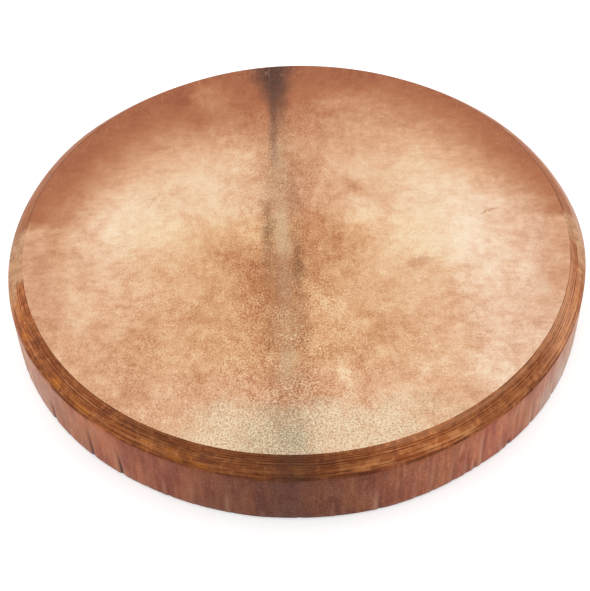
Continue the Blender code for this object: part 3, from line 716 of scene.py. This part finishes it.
def rawhide_skin_material(settings):
    """Scraped rawhide with the hair's pattern left in it, over the head, rim, side and hem."""
    shader = Shader("rawhide_skin")
    at = SkinPlaces(shader)
    creased = shader.painted("crease")
    ridged = shader.painted("ridge")
    head = head_colour(shader, at, settings)
    band = band_colour(shader, at, settings)
    side = side_colour(shader, at, settings, creased, ridged)
    fibres = shader.noise(60, 6, 0.65)
    raw = shader.mix(shader.step(fibres, 0.36, 0.66), srgb(186, 136, 94), tuple(settings.raw))

    bearing = shader.step(shader.add(at.across, shader.wander(220, 0.008, 2, at.flat)), -0.028, 0.004)
    colour = shader.mix(bearing, head, band)
    edge = shader.less(shader.noise(1.0, 3, 0.55, at.around(shader, 7.0, 0.0, 9.1)), 0.5)
    edge = shader.add(shader.times(edge, 0.24), 1.02)
    on_side = shader.step(at.across, shader.add(edge, -0.035), shader.add(edge, 0.035))
    colour = shader.mix(on_side, colour, side)
    under = shader.times(shader.step(at.z, 0.0090, 0.0060), shader.step(at.radius, 0.2488, 0.2470))
    inside = shader.times(shader.math("LESS_THAN", at.radius, BEARING_EDGE - 0.003),
                          shader.math("LESS_THAN", at.z, DRUM_DEPTH - HIDE_THICKNESS * 0.6))
    colour = shader.mix(under, colour, raw)
    colour = shader.mix(shader.times(inside, 0.35), colour, raw)

    stubble = shader.noise(700, 4, 0.7)
    wrinkles = shader.noise(1.0, 5, 0.62, at.around(shader, 42.0, shader.times(at.z, 8.0)))
    upright = shader.step(at.across, 0.95, 1.20)
    normal = shader.bump(stubble, 0.00030, 0.5)
    normal = shader.bump(shader.times(wrinkles, upright), 0.0008, 0.6, normal)
    worn = shader.noise(90, 4, 0.6)
    roughness = shader.less(shader.step(worn, 0.3, 0.7, 0.48, 0.66), shader.times(upright, 0.14))
    finish = shader.principled.inputs
    shader.put(finish["Sheen Weight"], shader.times(upright, 0.10))
    finish["Sheen Roughness"].default_value = 0.30
    finish["Sheen Tint"].default_value = (1.0, 0.88, 0.78, 1.0)
    return shader.finish(colour, roughness, normal, specular=0.135)


def bent_wood_material(settings):
    """Bent ply: long grain round the hoop, with pores and a few darker streaks."""
    shader = Shader("bent_wood")
    at = SkinPlaces(shader)
    broad = shader.noise(1.0, 6, 0.62, at.around(shader, 5.0, shader.times(at.z, 190.0)))
    narrow = shader.noise(1.0, 5, 0.68, at.around(shader, 16.0, shader.times(at.z, 1500.0)))
    stain = shader.noise(1.0, 3, 0.5, at.around(shader, 4.0, shader.times(at.z, 12.0), 3.0))
    colour = shader.mix(shader.step(broad, 0.34, 0.66), tuple(settings.wood), srgb(168, 114, 66))
    colour = shader.mix(shader.step(narrow, 0.52, 0.70, 0.0, 0.55), colour, srgb(118, 74, 40))
    colour = shader.mix(shader.step(stain, 0.50, 0.72, 0.0, 0.35), colour, srgb(128, 84, 50))
    height = shader.add(shader.times(narrow, 0.7), shader.times(broad, 0.3))
    roughness = shader.step(narrow, 0.3, 0.7, 0.50, 0.68)
    return shader.finish(colour, roughness, shader.bump(height, 0.0004, 0.5), 0.3)


def rawhide_lace_material(settings):
    """Dry twisted rawhide: honey-coloured with pale rubbed edges and darker grease."""
    shader = Shader("rawhide_lace")
    stain = shader.noise(55, 5, 0.6)
    fibres = shader.noise(900, 4, 0.7)
    colour = shader.mix(shader.step(stain, 0.35, 0.68), tuple(settings.rawhide), srgb(170, 120, 70))
    colour = shader.mix(shader.step(fibres, 0.52, 0.68, 0.0, 0.55), colour, srgb(232, 204, 158))
    colour = shader.mix(shader.step(fibres, 0.46, 0.32, 0.0, 0.50), colour, srgb(128, 86, 48))
    shader.principled.inputs["Coat Weight"].default_value = 0.12
    shader.principled.inputs["Coat Roughness"].default_value = 0.4
    return shader.finish(colour, 0.52, shader.bump(fibres, 0.00022, 0.8), 0.4)


def grip_leather_material(settings):
    """Handled leather: dark brown, rubbed lighter on the crowns, with fine grain and dark laps."""
    shader = Shader("grip_leather")
    grain = shader.cells(950)
    wear = shader.noise(55, 5, 0.62)
    lap = shader.painted("lap")
    colour = shader.mix(shader.step(wear, 0.42, 0.70), tuple(settings.leather), srgb(122, 74, 44))
    colour = shader.mix(shader.step(lap, 0.60, 1.0, 0.0, 0.60), colour, srgb(158, 104, 66))
    colour = shader.mix(shader.step(lap, 0.22, 0.0, 0.0, 0.80), colour, srgb(34, 18, 12))
    colour = shader.mix(shader.step(grain, 0.25, 0.05, 0.0, 0.4), colour, srgb(50, 28, 18))
    return shader.finish(colour, shader.step(lap, 0.3, 1.0, 0.66, 0.46), shader.bump(grain, 0.0004, 0.6), 0.4)


def forged_iron_material(settings):
    """Forged rod: dark scale, rubbed brighter, with a little rust."""
    shader = Shader("forged_iron")
    scale = shader.noise(170, 6, 0.65)
    rust = shader.noise(60, 5, 0.7)
    colour = shader.mix(shader.step(scale, 0.40, 0.70), tuple(settings.iron), srgb(116, 110, 104))
    colour = shader.mix(shader.step(rust, 0.54, 0.70, 0.0, 0.80), colour, srgb(118, 68, 40))
    shader.principled.inputs["Metallic"].default_value = 0.8
    return shader.finish(colour, shader.step(scale, 0.3, 0.7, 0.36, 0.62), shader.bump(scale, 0.0006, 0.8))


def arc(centre, radius, start, end, steps):
    """Points of an arc about centre in the (radius, height) plane."""
    points = []
    for step in range(steps + 1):
        turn = start + (end - start) * step / steps
        points.append((centre[0] + radius * math.cos(turn), centre[1] + radius * math.sin(turn)))
    return points


def stretch(start, end, steps):
    """Points between two corners of an outline, without the corners."""
    points = []
    for step in range(1, steps):
        share = step / steps
        points.append((start[0] + (end[0] - start[0]) * share, start[1] + (end[1] - start[1]) * share))
    return points


def skin_outline():
    """Outside of the skin as (radius, height), from the middle of the head to the hem's edge."""
    up = math.pi / 2
    hem_slope = math.atan2(HEM_LIFT, HEM_BEND_RUN)
    corners = [
        [(0.0, DRUM_DEPTH)],
        arc((CHAMFER_START, HOOP_TOP), SKIN_OFFSET, up, up - CHAMFER_ANGLE, 3),
        arc((HOOP_OUTER, SHOULDER), SKIN_OFFSET, up - CHAMFER_ANGLE, 0.0, 4),
        arc((HOOP_OUTER - FOOT_EASE, HOOP_FOOT + FOOT_EASE), SKIN_OFFSET + FOOT_EASE, 0.0, -up, 4),
        arc((HOOP_INNER, HOOP_FOOT), SKIN_OFFSET, -up, -up - hem_slope, 1),
        [(HOOP_INNER - HEM_BEND_RUN, HEM_LIFT)],
        [(HOLE_RADIUS, HEM_LIFT)],
        [(HEM_EDGE, HEM_LIFT)],
    ]
    between = (5, 3, 10, 3, 2, 1, 2)
    outline = list(corners[0])
    for before, after, steps in zip(corners, corners[1:], between):
        outline += stretch(before[-1], after[0], steps)
        outline += after
    return outline


# Creases of the side: degrees round the drum, how far up they run, depth, and how pale the crest beside them is;
# depth also sets the crease's painted shade, and paleness is a painted highlight that lifts the crest a little too
SEEN_CREASES = (
    (216.6, 0.60, 1.00, 0.30), (221.8, 0.70, 0.30, 0.20), (228.3, 0.80, 0.90, 0.25), (235.3, 0.72, 0.95, 0.75),
    (240.7, 0.85, 0.35, 0.10), (245.3, 0.52, 0.45, 0.75), (250.6, 0.80, 0.20, 0.35), (257.2, 0.60, 0.20, 0.55),
    (263.4, 0.25, 0.10, 0.45), (269.0, 0.45, 0.45, 0.15), (275.5, 0.35, 0.25, 0.50), (283.1, 0.62, 0.55, 0.90),
    (290.0, 0.55, 0.25, 0.55), (293.3, 0.85, 0.30, 0.55), (297.6, 0.65, 0.45, 0.45), (300.6, 0.75, 0.45, 0.45),
    (302.5, 0.32, 0.60, 0.55), (304.2, 1.05, 0.55, 0.90), (309.1, 0.62, 0.20, 0.60), (310.8, 0.20, 1.00, 0.10),
    (317.5, 0.60, 0.50, 0.40), (325.5, 0.55, 0.60, 0.50),
)
CREASE_WIDTH = math.radians(0.40)
BULGES = (
    (38, 0.26), (96, 0.52), (145, 0.74), (204, 0.58), (223, 0.45), (263, 0.50), (284, 1.00), (318, 0.36),
    (360, 0.72),
)
BULGE_WIDTH = math.radians(11)


def crease_places():
    """The creases seen in front, and others like them round the back, at uneven steps."""
    places = [(math.radians(degrees), *rest) for degrees, *rest in SEEN_CREASES]
    degrees = 332.0
    number = 0
    while degrees < 360 + 210:
        number += 1
        reach = 0.5 + 0.5 * math.sin(number * 2.3)
        deep = 0.5 + 0.5 * math.sin(number * 4.1 + 1.0)
        pale = 0.5 + 0.5 * math.sin(number * 5.7 + 2.0)
        places.append((math.radians(degrees % 360), 0.25 + 0.70 * reach, 0.12 + 0.80 * deep ** 2, 0.15 + 0.7 * pale))
        degrees += 2.6 + 9.0 * (0.5 + 0.5 * math.sin(number * 3.3)) ** 1.5
    return places


CREASES = crease_places()


def turn_between(first, second):
    """Signed angle from second to first, from -pi to pi."""
    return (first - second + math.pi) % (2 * math.pi) - math.pi


def folds_at(angle, height):
    """How deep the creases and how high their crests are at a place on the side."""
    crease = 0.0
    crest = 0.0
    for place, reach, depth, paleness in CREASES:
        top = reach * SHOULDER
        if height > top:
            continue
        lean = 0.0016 * math.sin(place * 9) * height / SHOULDER
        away = turn_between(angle, place + lean / DRUM_RADIUS) / CREASE_WIDTH
        if abs(away) > 7:
            continue
        fade = min(1.0, 2.2 * (1 - height / top))
        crease += depth * fade * math.exp(-away ** 2)
        crest += paleness * fade * math.exp(-(away + 1.9) ** 2 * 0.9)
    return min(crease, 1.2), min(crest, 1.0)


def bulge_at(angle):
    """A hand-bent hoop is never quite round: it stands out a little in a few places."""
    total = 0.0
    for degrees, share in BULGES:
        total += share * math.exp(-(turn_between(angle, math.radians(degrees)) / BULGE_WIDTH) ** 2)
    return min(total, 1.0)


def gathers_at(angle):
    """0 at a lace hole and 1 midway between two, where the hem is slack."""
    return (1 + math.cos(HOLE_COUNT * angle)) / 2


def shape_skin(form, settings):
    """Moves the points of the round skin to where they lie on the real, hand-laced one."""
    creased = form.verts.layers.float.new("crease")
    ridged = form.verts.layers.float.new("ridge")
    for vertex in form.verts:
        radius, height = vertex.co.xy.length, vertex.co.z
        if radius < 0.1:
            continue
        angle = math.atan2(vertex.co.y, vertex.co.x)
        moved = radius + settings.bulge * bulge_at(angle) * (radius / DRUM_RADIUS) ** 8
        outward = (radius - FOOT_TURN) / (DRUM_RADIUS - FOOT_TURN)
        if outward > 0.0:
            crease, crest = folds_at(angle, height)
            stands = min(1.0, 1.3 * max(0.0, 1 - height / SHOULDER)) * 0.70
            ripple = noise.noise(Vector((math.cos(angle) * 9, math.sin(angle) * 9, height * 16)))
            pushed = settings.fold_depth * (stands * (1 - crease) + 0.24 * crest) + 0.00030 * stands * ripple
            moved += pushed * min(1.0, outward)
            vertex[creased] = crease
            vertex[ridged] = crest
        elif height < 0.012 and radius < HOOP_INNER:
            slack = gathers_at(angle)
            inward = (HOOP_INNER - radius) / (HOOP_INNER - HEM_EDGE)
            crumple = noise.noise(Vector((math.cos(angle) * 18, math.sin(angle) * 18, radius * 90)))
            pucker = math.cos(angle * HOLE_COUNT * 5) * 0.00022
            height += inward * (0.0016 * slack + 0.0006 * (crumple + 0.6) * slack + pucker)
            if radius < HOLE_RADIUS - 0.001:
                moved += 0.0042 * slack + 0.0009 * crumple * slack
        vertex.co = Vector((moved * math.cos(angle), moved * math.sin(angle), max(height, 0.0)))


def hem_height(radius):
    """Height of the hem's outside at a radius near the lace holes."""
    slope_end = HOOP_INNER - HEM_BEND_RUN
    if radius <= slope_end:
        return HEM_LIFT
    return HEM_LIFT * (1 - (radius - slope_end) / HEM_BEND_RUN)


def punch_holes(form, segments):
    """Cuts a patch out of the hem at each hole and bridges its edge to a round one."""
    column = 2 * math.pi / segments
    columns = max(2, math.ceil(0.0026 / (column * HOLE_RADIUS)))
    for hole in range(HOLE_COUNT):
        angle = (hole + 0.5) * HOLE_PITCH
        centre = Vector((math.cos(angle), math.sin(angle), 0)) * HOLE_RADIUS
        patch = []
        for face in form.faces:
            middle = face.calc_center_median()
            if middle.z > 0.004 or (middle - centre).length > 0.006:
                continue
            turn = abs(turn_between(math.atan2(middle.y, middle.x), angle))
            if turn < columns * column and HOLE_RADIUS - 0.0032 < middle.xy.length < HOOP_INNER - 0.0026:
                patch.append(face)
        bmesh.ops.delete(form, geom=patch, context="FACES")
        outer = [edge for edge in form.edges if edge.is_boundary
                 and (edge.verts[0].co - centre).length < 0.0062 and edge.verts[0].co.xy.length > HEM_EDGE + 0.001]
        place = Matrix.Translation(centre) @ Matrix.Rotation(angle + math.pi / 2, 4, "Z")
        round_edge = bmesh.ops.create_circle(form, segments=len(outer), radius=HOLE_DIAMETER / 2, matrix=place)
        for vertex in round_edge["verts"]:
            vertex.co.z = hem_height(vertex.co.xy.length)
        inner = list({edge for vertex in round_edge["verts"] for edge in vertex.link_edges})
        bmesh.ops.bridge_loops(form, edges=outer + inner)


def spun(outline, segments, closed=False, angle=2 * math.pi):
    """A bmesh of an outline turned about Z: once round, or less where the form is left open."""
    form = bmesh.new()
    rim = [form.verts.new((radius, 0.0, height)) for radius, height in outline]
    edges = [form.edges.new(pair) for pair in zip(rim, rim[1:])]
    if closed:
        edges.append(form.edges.new((rim[-1], rim[0])))
    bmesh.ops.spin(form, geom=rim + edges, cent=(0, 0, 0), axis=(0, 0, 1), angle=angle,
                   steps=segments, use_merge=angle > 2 * math.pi - 1e-6, use_duplicate=False)
    bmesh.ops.remove_doubles(form, verts=form.verts, dist=1e-6)
    return form


def finished(name, mesh, material, slot, *nodes, smooth_angle=math.radians(40)):
    """Makes a mesh a piece that rides on the drum and stands for its nodes."""
    mesh.materials.clear()
    mesh.materials.append(material)
    mesh.shade_smooth()
    mesh.set_sharp_from_angle(angle=smooth_angle)
    piece = bpy.data.objects.new(name, mesh)
    bpy.context.scene.collection.objects.link(piece)
    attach(piece, "root")
    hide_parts(*nodes)
    return piece


def finished_form(name, form, *rest, **options):
    mesh = bpy.data.meshes.new(name)
    form.to_mesh(mesh)
    form.free()
    return finished(name, mesh, *rest, **options)


class DRUM_OT_skin(bpy.types.Operator):
    """Make the rawhide skin: head, rim, creased side and laced hem"""
    bl_idname = "drum.skin"
    bl_label = "Rawhide skin"

    def execute(self, context):
        settings = context.scene.drum_skin
        form = spun(skin_outline(), settings.segments)
        punch_holes(form, settings.segments)
        bmesh.ops.recalc_face_normals(form, faces=form.faces)
        if sum(face.normal.z * face.calc_area() for face in form.faces) < 0:
            bmesh.ops.reverse_faces(form, faces=form.faces)
        shape_skin(form, settings)
        skin = finished_form("rawhide_skin", form, rawhide_skin_material(settings), "rawhide_skin", "drum_skin")
        wall = skin.modifiers.new("wall", "SOLIDIFY")
        wall.thickness = HIDE_THICKNESS
        wall.offset = -1.0
        return {"FINISHED"}


def chamfer_height(radius):
    """Height of the wood at a radius: flat on the land, then sloping down to the shoulder."""
    return HOOP_TOP - max(0.0, radius - CHAMFER_START) * math.tan(CHAMFER_ANGLE)


class DRUM_OT_hoop(bpy.types.Operator):
    """Turn the innermost ply with its scarf joint and finish the other plies"""
    bl_idname = "drum.hoop"
    bl_label = "Bent wood hoop"

    def execute(self, context):
        wood = bent_wood_material(context.scene.drum_back)
        for name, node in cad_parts.items():
            if name.startswith("hoop_ply_"):
                node.data.materials.clear()
                node.data.materials.append(wood)
        outer = HOOP_INNER + PLY_THICKNESS
        ease = FOOT_EASE / 3
        outline = [(HOOP_INNER, HOOP_TOP - ease), (HOOP_INNER + ease, HOOP_TOP), (CHAMFER_START, HOOP_TOP),
                   (outer, chamfer_height(outer)), (outer, HOOP_FOOT), (HOOP_INNER + ease, HOOP_FOOT),
                   (HOOP_INNER, HOOP_FOOT + ease)]
        joint = math.pi / HOOP_SEGMENTS
        turned = 2 * math.pi - 2 * SCARF_GAP / HOOP_INNER
        form = spun(outline, 240, closed=True, angle=turned)
        for vertex in form.verts:
            radius = vertex.co.xy.length
            angle = math.atan2(vertex.co.y, vertex.co.x) + joint
            slant = (radius - HOOP_INNER) * math.tan(SCARF_TILT) / radius
            vertex.co.x = radius * math.cos(angle - slant)
            vertex.co.y = radius * math.sin(angle - slant)
        bmesh.ops.holes_fill(form, edges=[edge for edge in form.edges if edge.is_boundary], sides=0)
        bmesh.ops.recalc_face_normals(form, faces=form.faces)
        finished_form("inner_ply", form, wood, "bent_wood", "hoop_ply_1")
        return {"FINISHED"}


def lace_points(arm_angle, slot):
    """Closed route of one doubled lace: round the ring, through the wrap, through the hem."""
    ring_angle = arm_angle + slot * RING_LACE_TURN
    hole_angle = arm_angle + slot * HOLE_PITCH
    along = Matrix.Rotation(arm_angle, 3, "Z")
    steps = 10
    ring_loop = (RING_WIRE / 2 + FIT_GAP + LACE_RADIUS) / math.cos(math.pi / 8)
    hem_loop = (HIDE_THICKNESS / 2 + FIT_GAP + LACE_RADIUS) / math.cos(math.pi / 8)
    hem_middle = HEM_LIFT + HIDE_THICKNESS / 2
    hole = Vector((math.cos(hole_angle), math.sin(hole_angle), 0)) * HOLE_RADIUS
    wrap_in = along @ Vector((WRAP_START, slot * LACE_SPACING, 0))
    wrap_out = along @ Vector((WRAP_END, slot * LACE_SPACING, 0))
    outward = (hole - wrap_out).normalized()
    ring_out = Vector((math.cos(ring_angle), math.sin(ring_angle), 0))
    up = Vector((0, 0, 1))
    points = []
    for step in range(steps + 1):
        turn = math.pi * step / steps - math.pi / 2
        centre = ring_out * RING_RADIUS + up * RING_HEIGHT
        points.append(centre - ring_out * ring_loop * math.cos(turn) + up * ring_loop * math.sin(turn))
    points.append(wrap_in + up * (RING_HEIGHT + LAYER_OFFSET))
    points.append(wrap_out + up * (RING_HEIGHT + LAYER_OFFSET))
    for step in range(steps + 1):
        turn = math.pi / 2 - math.pi * step / steps
        centre = hole - outward * hem_loop + up * hem_middle
        points.append(centre + outward * hem_loop * math.cos(turn) + up * hem_loop * math.sin(turn))
    points.append(wrap_out + up * (RING_HEIGHT - LAYER_OFFSET))
    points.append(wrap_in + up * (RING_HEIGHT - LAYER_OFFSET))
    return points


def spread_out(points, longest):
    """The closed route with extra points on its long runs."""
    finer = []
    for point, following in zip(points, points[1:] + points[:1]):
        count = max(1, round((following - point).length / longest))
        finer += [point.lerp(following, step / count) for step in range(count)]
    return finer


def strip_section():
    """The flattened section of a rawhide strip, as a closed curve."""
    section = bpy.data.curves.new("strip_section", "CURVE")
    ring = section.splines.new("POLY")
    sides = 10
    ring.points.add(sides - 1)
    for side, point in enumerate(ring.points):
        turn = 2 * math.pi * side / sides
        point.co = (LACE_RADIUS * math.cos(turn), LACE_RADIUS * 0.66 * math.sin(turn), 0.0, 1.0)
    ring.use_cyclic_u = True
    holder = bpy.data.objects.new("strip_section", section)
    bpy.context.scene.collection.objects.link(holder)
    return holder


def lace_mesh(name, points, section, twists):
    """A closed strip twisted along the points, a little uneven like dried rawhide."""
    line = bpy.data.curves.new(name, "CURVE")
    line.dimensions = "3D"
    line.bevel_mode = "OBJECT"
    line.bevel_object = section
    line.twist_mode = "MINIMUM"
    spline = line.splines.new("POLY")
    spline.points.add(len(points) - 1)
    for number, (place, point) in enumerate(zip(spline.points, points)):
        place.co = (*point, 1.0)
        place.radius = 0.93 + 0.06 * noise.noise(point * 180)
        place.tilt = 2 * math.pi * twists * number / len(points)
    spline.use_cyclic_u = True
    holder = bpy.data.objects.new(name + "_line", line)
    bpy.context.scene.collection.objects.link(holder)
    bpy.context.view_layer.update()
    view = holder.evaluated_get(bpy.context.evaluated_depsgraph_get())
    mesh = bpy.data.meshes.new_from_object(view)
    bpy.data.objects.remove(holder, do_unlink=True)
    return mesh


class DRUM_OT_laces(bpy.types.Operator):
    """Lay the doubled rawhide laces from the ring to the hem holes"""
    bl_idname = "drum.laces"
    bl_label = "Rawhide laces"

    def execute(self, context):
        rawhide = rawhide_lace_material(context.scene.drum_back)
        section = strip_section()
        number = 0
        for arm in range(ARM_COUNT):
            for place in range(LACES_PER_ARM):
                number += 1
                slot = place - (LACES_PER_ARM - 1) / 2
                points = spread_out(lace_points(arm * 2 * math.pi / ARM_COUNT, slot), 0.0022)
                mesh = lace_mesh("rawhide_lace_%02d" % number, points, section, 24 + number % 5)
                finished(mesh.name, mesh, rawhide, "rawhide_lace", "lace_%02d" % number,
                         smooth_angle=math.radians(60))
        bpy.data.objects.remove(section, do_unlink=True)
        return {"FINISHED"}


def wrap_form(arm):
    """An oval sleeve whose surface is a leather strip wound in lapped turns."""
    bundle_width = (LACES_PER_ARM - 1) / 2 * LACE_SPACING + LACE_RADIUS + FIT_GAP
    bundle_height = LAYER_OFFSET + LACE_RADIUS + FIT_GAP
    bore_width = bundle_width * math.sqrt(2)
    bore_height = bundle_height * math.sqrt(2)
    form = bmesh.new()
    bmesh.ops.create_grid(form, x_segments=150, y_segments=96, size=0.5)
    lap_layer = form.verts.layers.float.new("lap")
    for vertex in form.verts:
        share = vertex.co.x + 0.5
        turn = (vertex.co.y + 0.5) * 2 * math.pi
        wound = (share * WRAP_TURNS + turn / (2 * math.pi)) % 1.0
        lap = min(1.0, wound / 0.10) * (1.0 - 0.55 * wound ** 1.5)
        ends = min(1.0, share / 0.03, (1 - share) / 0.03)
        crease = 0.0003 * noise.noise(Vector((share * 30, math.cos(turn) * 3, math.sin(turn) * 3 + arm * 7)))
        wall = 0.0006 + (WRAP_THICKNESS - 0.0009) * lap * (0.4 + 0.6 * ends) + crease
        vertex.co = Vector((WRAP_START + share * (WRAP_END - WRAP_START),
                            (bore_width + wall) * math.cos(turn), (bore_height + wall) * math.sin(turn)))
        vertex[lap_layer] = lap
    bmesh.ops.remove_doubles(form, verts=form.verts, dist=1e-6)
    rims = [edge for edge in form.edges if edge.is_boundary]
    grown = bmesh.ops.extrude_edge_only(form, edges=rims)["geom"]
    for vertex in [item for item in grown if isinstance(item, bmesh.types.BMVert)]:
        turn = math.atan2(vertex.co.z / bore_height, vertex.co.y / bore_width)
        vertex.co.y = bore_width * math.cos(turn)
        vertex.co.z = bore_height * math.sin(turn)
    rims = [edge for edge in form.edges if edge.is_boundary]
    bmesh.ops.bridge_loops(form, edges=rims)
    bmesh.ops.recalc_face_normals(form, faces=form.faces)
    form.transform(Matrix.Translation((0, 0, RING_HEIGHT))
                   @ Matrix.Rotation(arm * 2 * math.pi / ARM_COUNT, 4, "Z"))
    return form


class DRUM_OT_grip(bpy.types.Operator):
    """Wind the leather strips round the four arms"""
    bl_idname = "drum.grip"
    bl_label = "Grip wraps"

    def execute(self, context):
        leather = grip_leather_material(context.scene.drum_back)
        for arm in range(ARM_COUNT):
            finished_form("leather_wrap_%d" % (arm + 1), wrap_form(arm), leather, "grip_leather",
                          "grip_wrap_%d" % (arm + 1))
        return {"FINISHED"}


class DRUM_OT_ring(bpy.types.Operator):
    """Forge the centre ring"""
    bl_idname = "drum.ring"
    bl_label = "Centre ring"

    def execute(self, context):
        section = arc((RING_RADIUS, RING_HEIGHT), RING_WIRE / 2, 0.0, 2 * math.pi, 24)[:-1]
        form = spun(section, 144, closed=True)
        bmesh.ops.recalc_face_normals(form, faces=form.faces)
        for vertex in form.verts:
            outward = Vector((vertex.co.x, vertex.co.y, 0)).normalized()
            middle = outward * RING_RADIUS + Vector((0, 0, RING_HEIGHT))
            hammered = min(1.0, 0.975 + 0.05 * noise.noise(vertex.co * 190))
            vertex.co = middle + (vertex.co - middle) * hammered
        finished_form("iron_ring", form, forged_iron_material(context.scene.drum_back), "forged_iron",
                      "centre_ring", smooth_angle=math.radians(70))
        return {"FINISHED"}


def floor_material():
    """Plain white floor that keeps the drum's shadow and shows white to the camera."""
    shader = Shader("studio_floor")
    shader.finish((0.80, 0.80, 0.80), 0.9, specular=0.0)
    glow = shader.nodes.new("ShaderNodeEmission")
    rays = shader.nodes.new("ShaderNodeLightPath").outputs
    seen = shader.math("MAXIMUM", rays["Is Camera Ray"],
                       shader.math("MAXIMUM", rays["Is Glossy Ray"], rays["Is Transmission Ray"]))
    shader.put(glow.inputs["Strength"], shader.times(seen, 0.50))
    both = shader.nodes.new("ShaderNodeAddShader")
    shader.links.new(shader.principled.outputs[0], both.inputs[0])
    shader.links.new(glow.outputs[0], both.inputs[1])
    shader.links.new(both.outputs[0], shader.nodes["Material Output"].inputs["Surface"])
    return shader.material


def set_world():
    """Even studio light from all round, seen by the camera as plain white."""
    world = bpy.data.worlds.new("studio")
    bpy.context.scene.world = world
    world.use_nodes = True
    nodes = world.node_tree.nodes
    links = world.node_tree.links
    rays = nodes.new("ShaderNodeLightPath").outputs
    seen = nodes.new("ShaderNodeMath")
    seen.operation = "MAXIMUM"
    links.new(rays["Is Camera Ray"], seen.inputs[0])
    reflected = nodes.new("ShaderNodeMath")
    reflected.operation = "MAXIMUM"
    links.new(rays["Is Glossy Ray"], reflected.inputs[0])
    links.new(rays["Is Transmission Ray"], reflected.inputs[1])
    links.new(reflected.outputs[0], seen.inputs[1])
    strength = nodes.new("ShaderNodeMapRange")
    strength.inputs["To Min"].default_value = WORLD_LIGHT
    strength.inputs["To Max"].default_value = 1.0
    links.new(seen.outputs[0], strength.inputs["Value"])
    background = nodes["Background"]
    background.inputs["Color"].default_value = (1, 1, 1, 1)
    links.new(strength.outputs["Result"], background.inputs["Strength"])


WORLD_LIGHT = 0.50
# Soft lamps: where they shine from, strength, and how wide they are in degrees
LAMPS = (("overhead", (-0.10, 0.55, 1.30), 0.95, 70), ("left", (-1.0, -0.15, 0.75), 0.42, 60),
         ("right", (1.0, 0.05, 0.70), 0.50, 60))


def sun_lamp(name, place, strength, width):
    data = bpy.data.lights.new(name, "SUN")
    data.energy = strength
    data.angle = math.radians(width)
    lamp = bpy.data.objects.new(name, data)
    lamp.location = place
    lamp.rotation_euler = (-Vector(place)).to_track_quat("-Z", "Y").to_euler()
    bpy.context.scene.collection.objects.link(lamp)


class DRUM_OT_stage(bpy.types.Operator):
    """Set the white floor, the soft lamps and the camera"""
    bl_idname = "drum.stage"
    bl_label = "Stage"

    def execute(self, context):
        form = bmesh.new()
        bmesh.ops.create_grid(form, x_segments=1, y_segments=1, size=40.0)
        mesh = bpy.data.meshes.new("studio_floor")
        form.to_mesh(mesh)
        form.free()
        mesh.materials.append(floor_material())
        floor = bpy.data.objects.new("studio_floor", mesh)
        floor.location.z = -0.0002
        context.scene.collection.objects.link(floor)
        set_world()
        for lamp in LAMPS:
            sun_lamp(*lamp)

        data = bpy.data.cameras.new("camera")
        data.lens = CAMERA_LENS
        data.sensor_width = 36.0
        camera = bpy.data.objects.new("camera", data)
        back = Vector((0, -math.cos(CAMERA_ELEVATION), math.sin(CAMERA_ELEVATION)))
        right = Vector((1, 0, 0))
        up = back.cross(right)
        tilted_right = right * math.cos(CAMERA_ROLL) + up * math.sin(CAMERA_ROLL)
        tilted_up = up * math.cos(CAMERA_ROLL) - right * math.sin(CAMERA_ROLL)
        turn = Matrix((tilted_right, tilted_up, back)).transposed().to_4x4()
        camera.matrix_world = Matrix.Translation(CAMERA_AIM + back * CAMERA_DISTANCE) @ turn
        context.scene.collection.objects.link(camera)
        context.scene.camera = camera
        context.scene.view_settings.view_transform = "Standard"
        return {"FINISHED"}


class DRUM_PT_panel(bpy.types.Panel):
    """Sizes, colours and building steps of the drum"""
    bl_label = "Shaman drum"
    bl_idname = "DRUM_PT_panel"
    bl_space_type = "VIEW_3D"
    bl_region_type = "UI"
    bl_category = "Drum"

    def draw(self, context):
        layout = self.layout
        for group in (context.scene.drum_skin, context.scene.drum_back):
            box = layout.box()
            for name in group.bl_rna.properties.keys():
                if name not in ("rna_type", "name"):
                    box.prop(group, name)
        for operator in OPERATORS:
            layout.operator(operator.bl_idname)


OPERATORS = (DRUM_OT_skin, DRUM_OT_hoop, DRUM_OT_laces, DRUM_OT_grip, DRUM_OT_ring, DRUM_OT_stage)
CLASSES = (DrumSkinSettings, DrumBackSettings, *OPERATORS, DRUM_PT_panel)


def register():
    for item in CLASSES:
        bpy.utils.register_class(item)
    bpy.types.Scene.drum_skin = PointerProperty(type=DrumSkinSettings)
    bpy.types.Scene.drum_back = PointerProperty(type=DrumBackSettings)


def unregister():
    del bpy.types.Scene.drum_skin
    del bpy.types.Scene.drum_back
    for item in reversed(CLASSES):
        bpy.utils.unregister_class(item)


def main():
    register()
    bpy.ops.drum.skin()
    bpy.ops.drum.hoop()
    bpy.ops.drum.laces()
    bpy.ops.drum.grip()
    bpy.ops.drum.ring()
    bpy.ops.drum.stage()


if __name__ == "__main__":
    main()
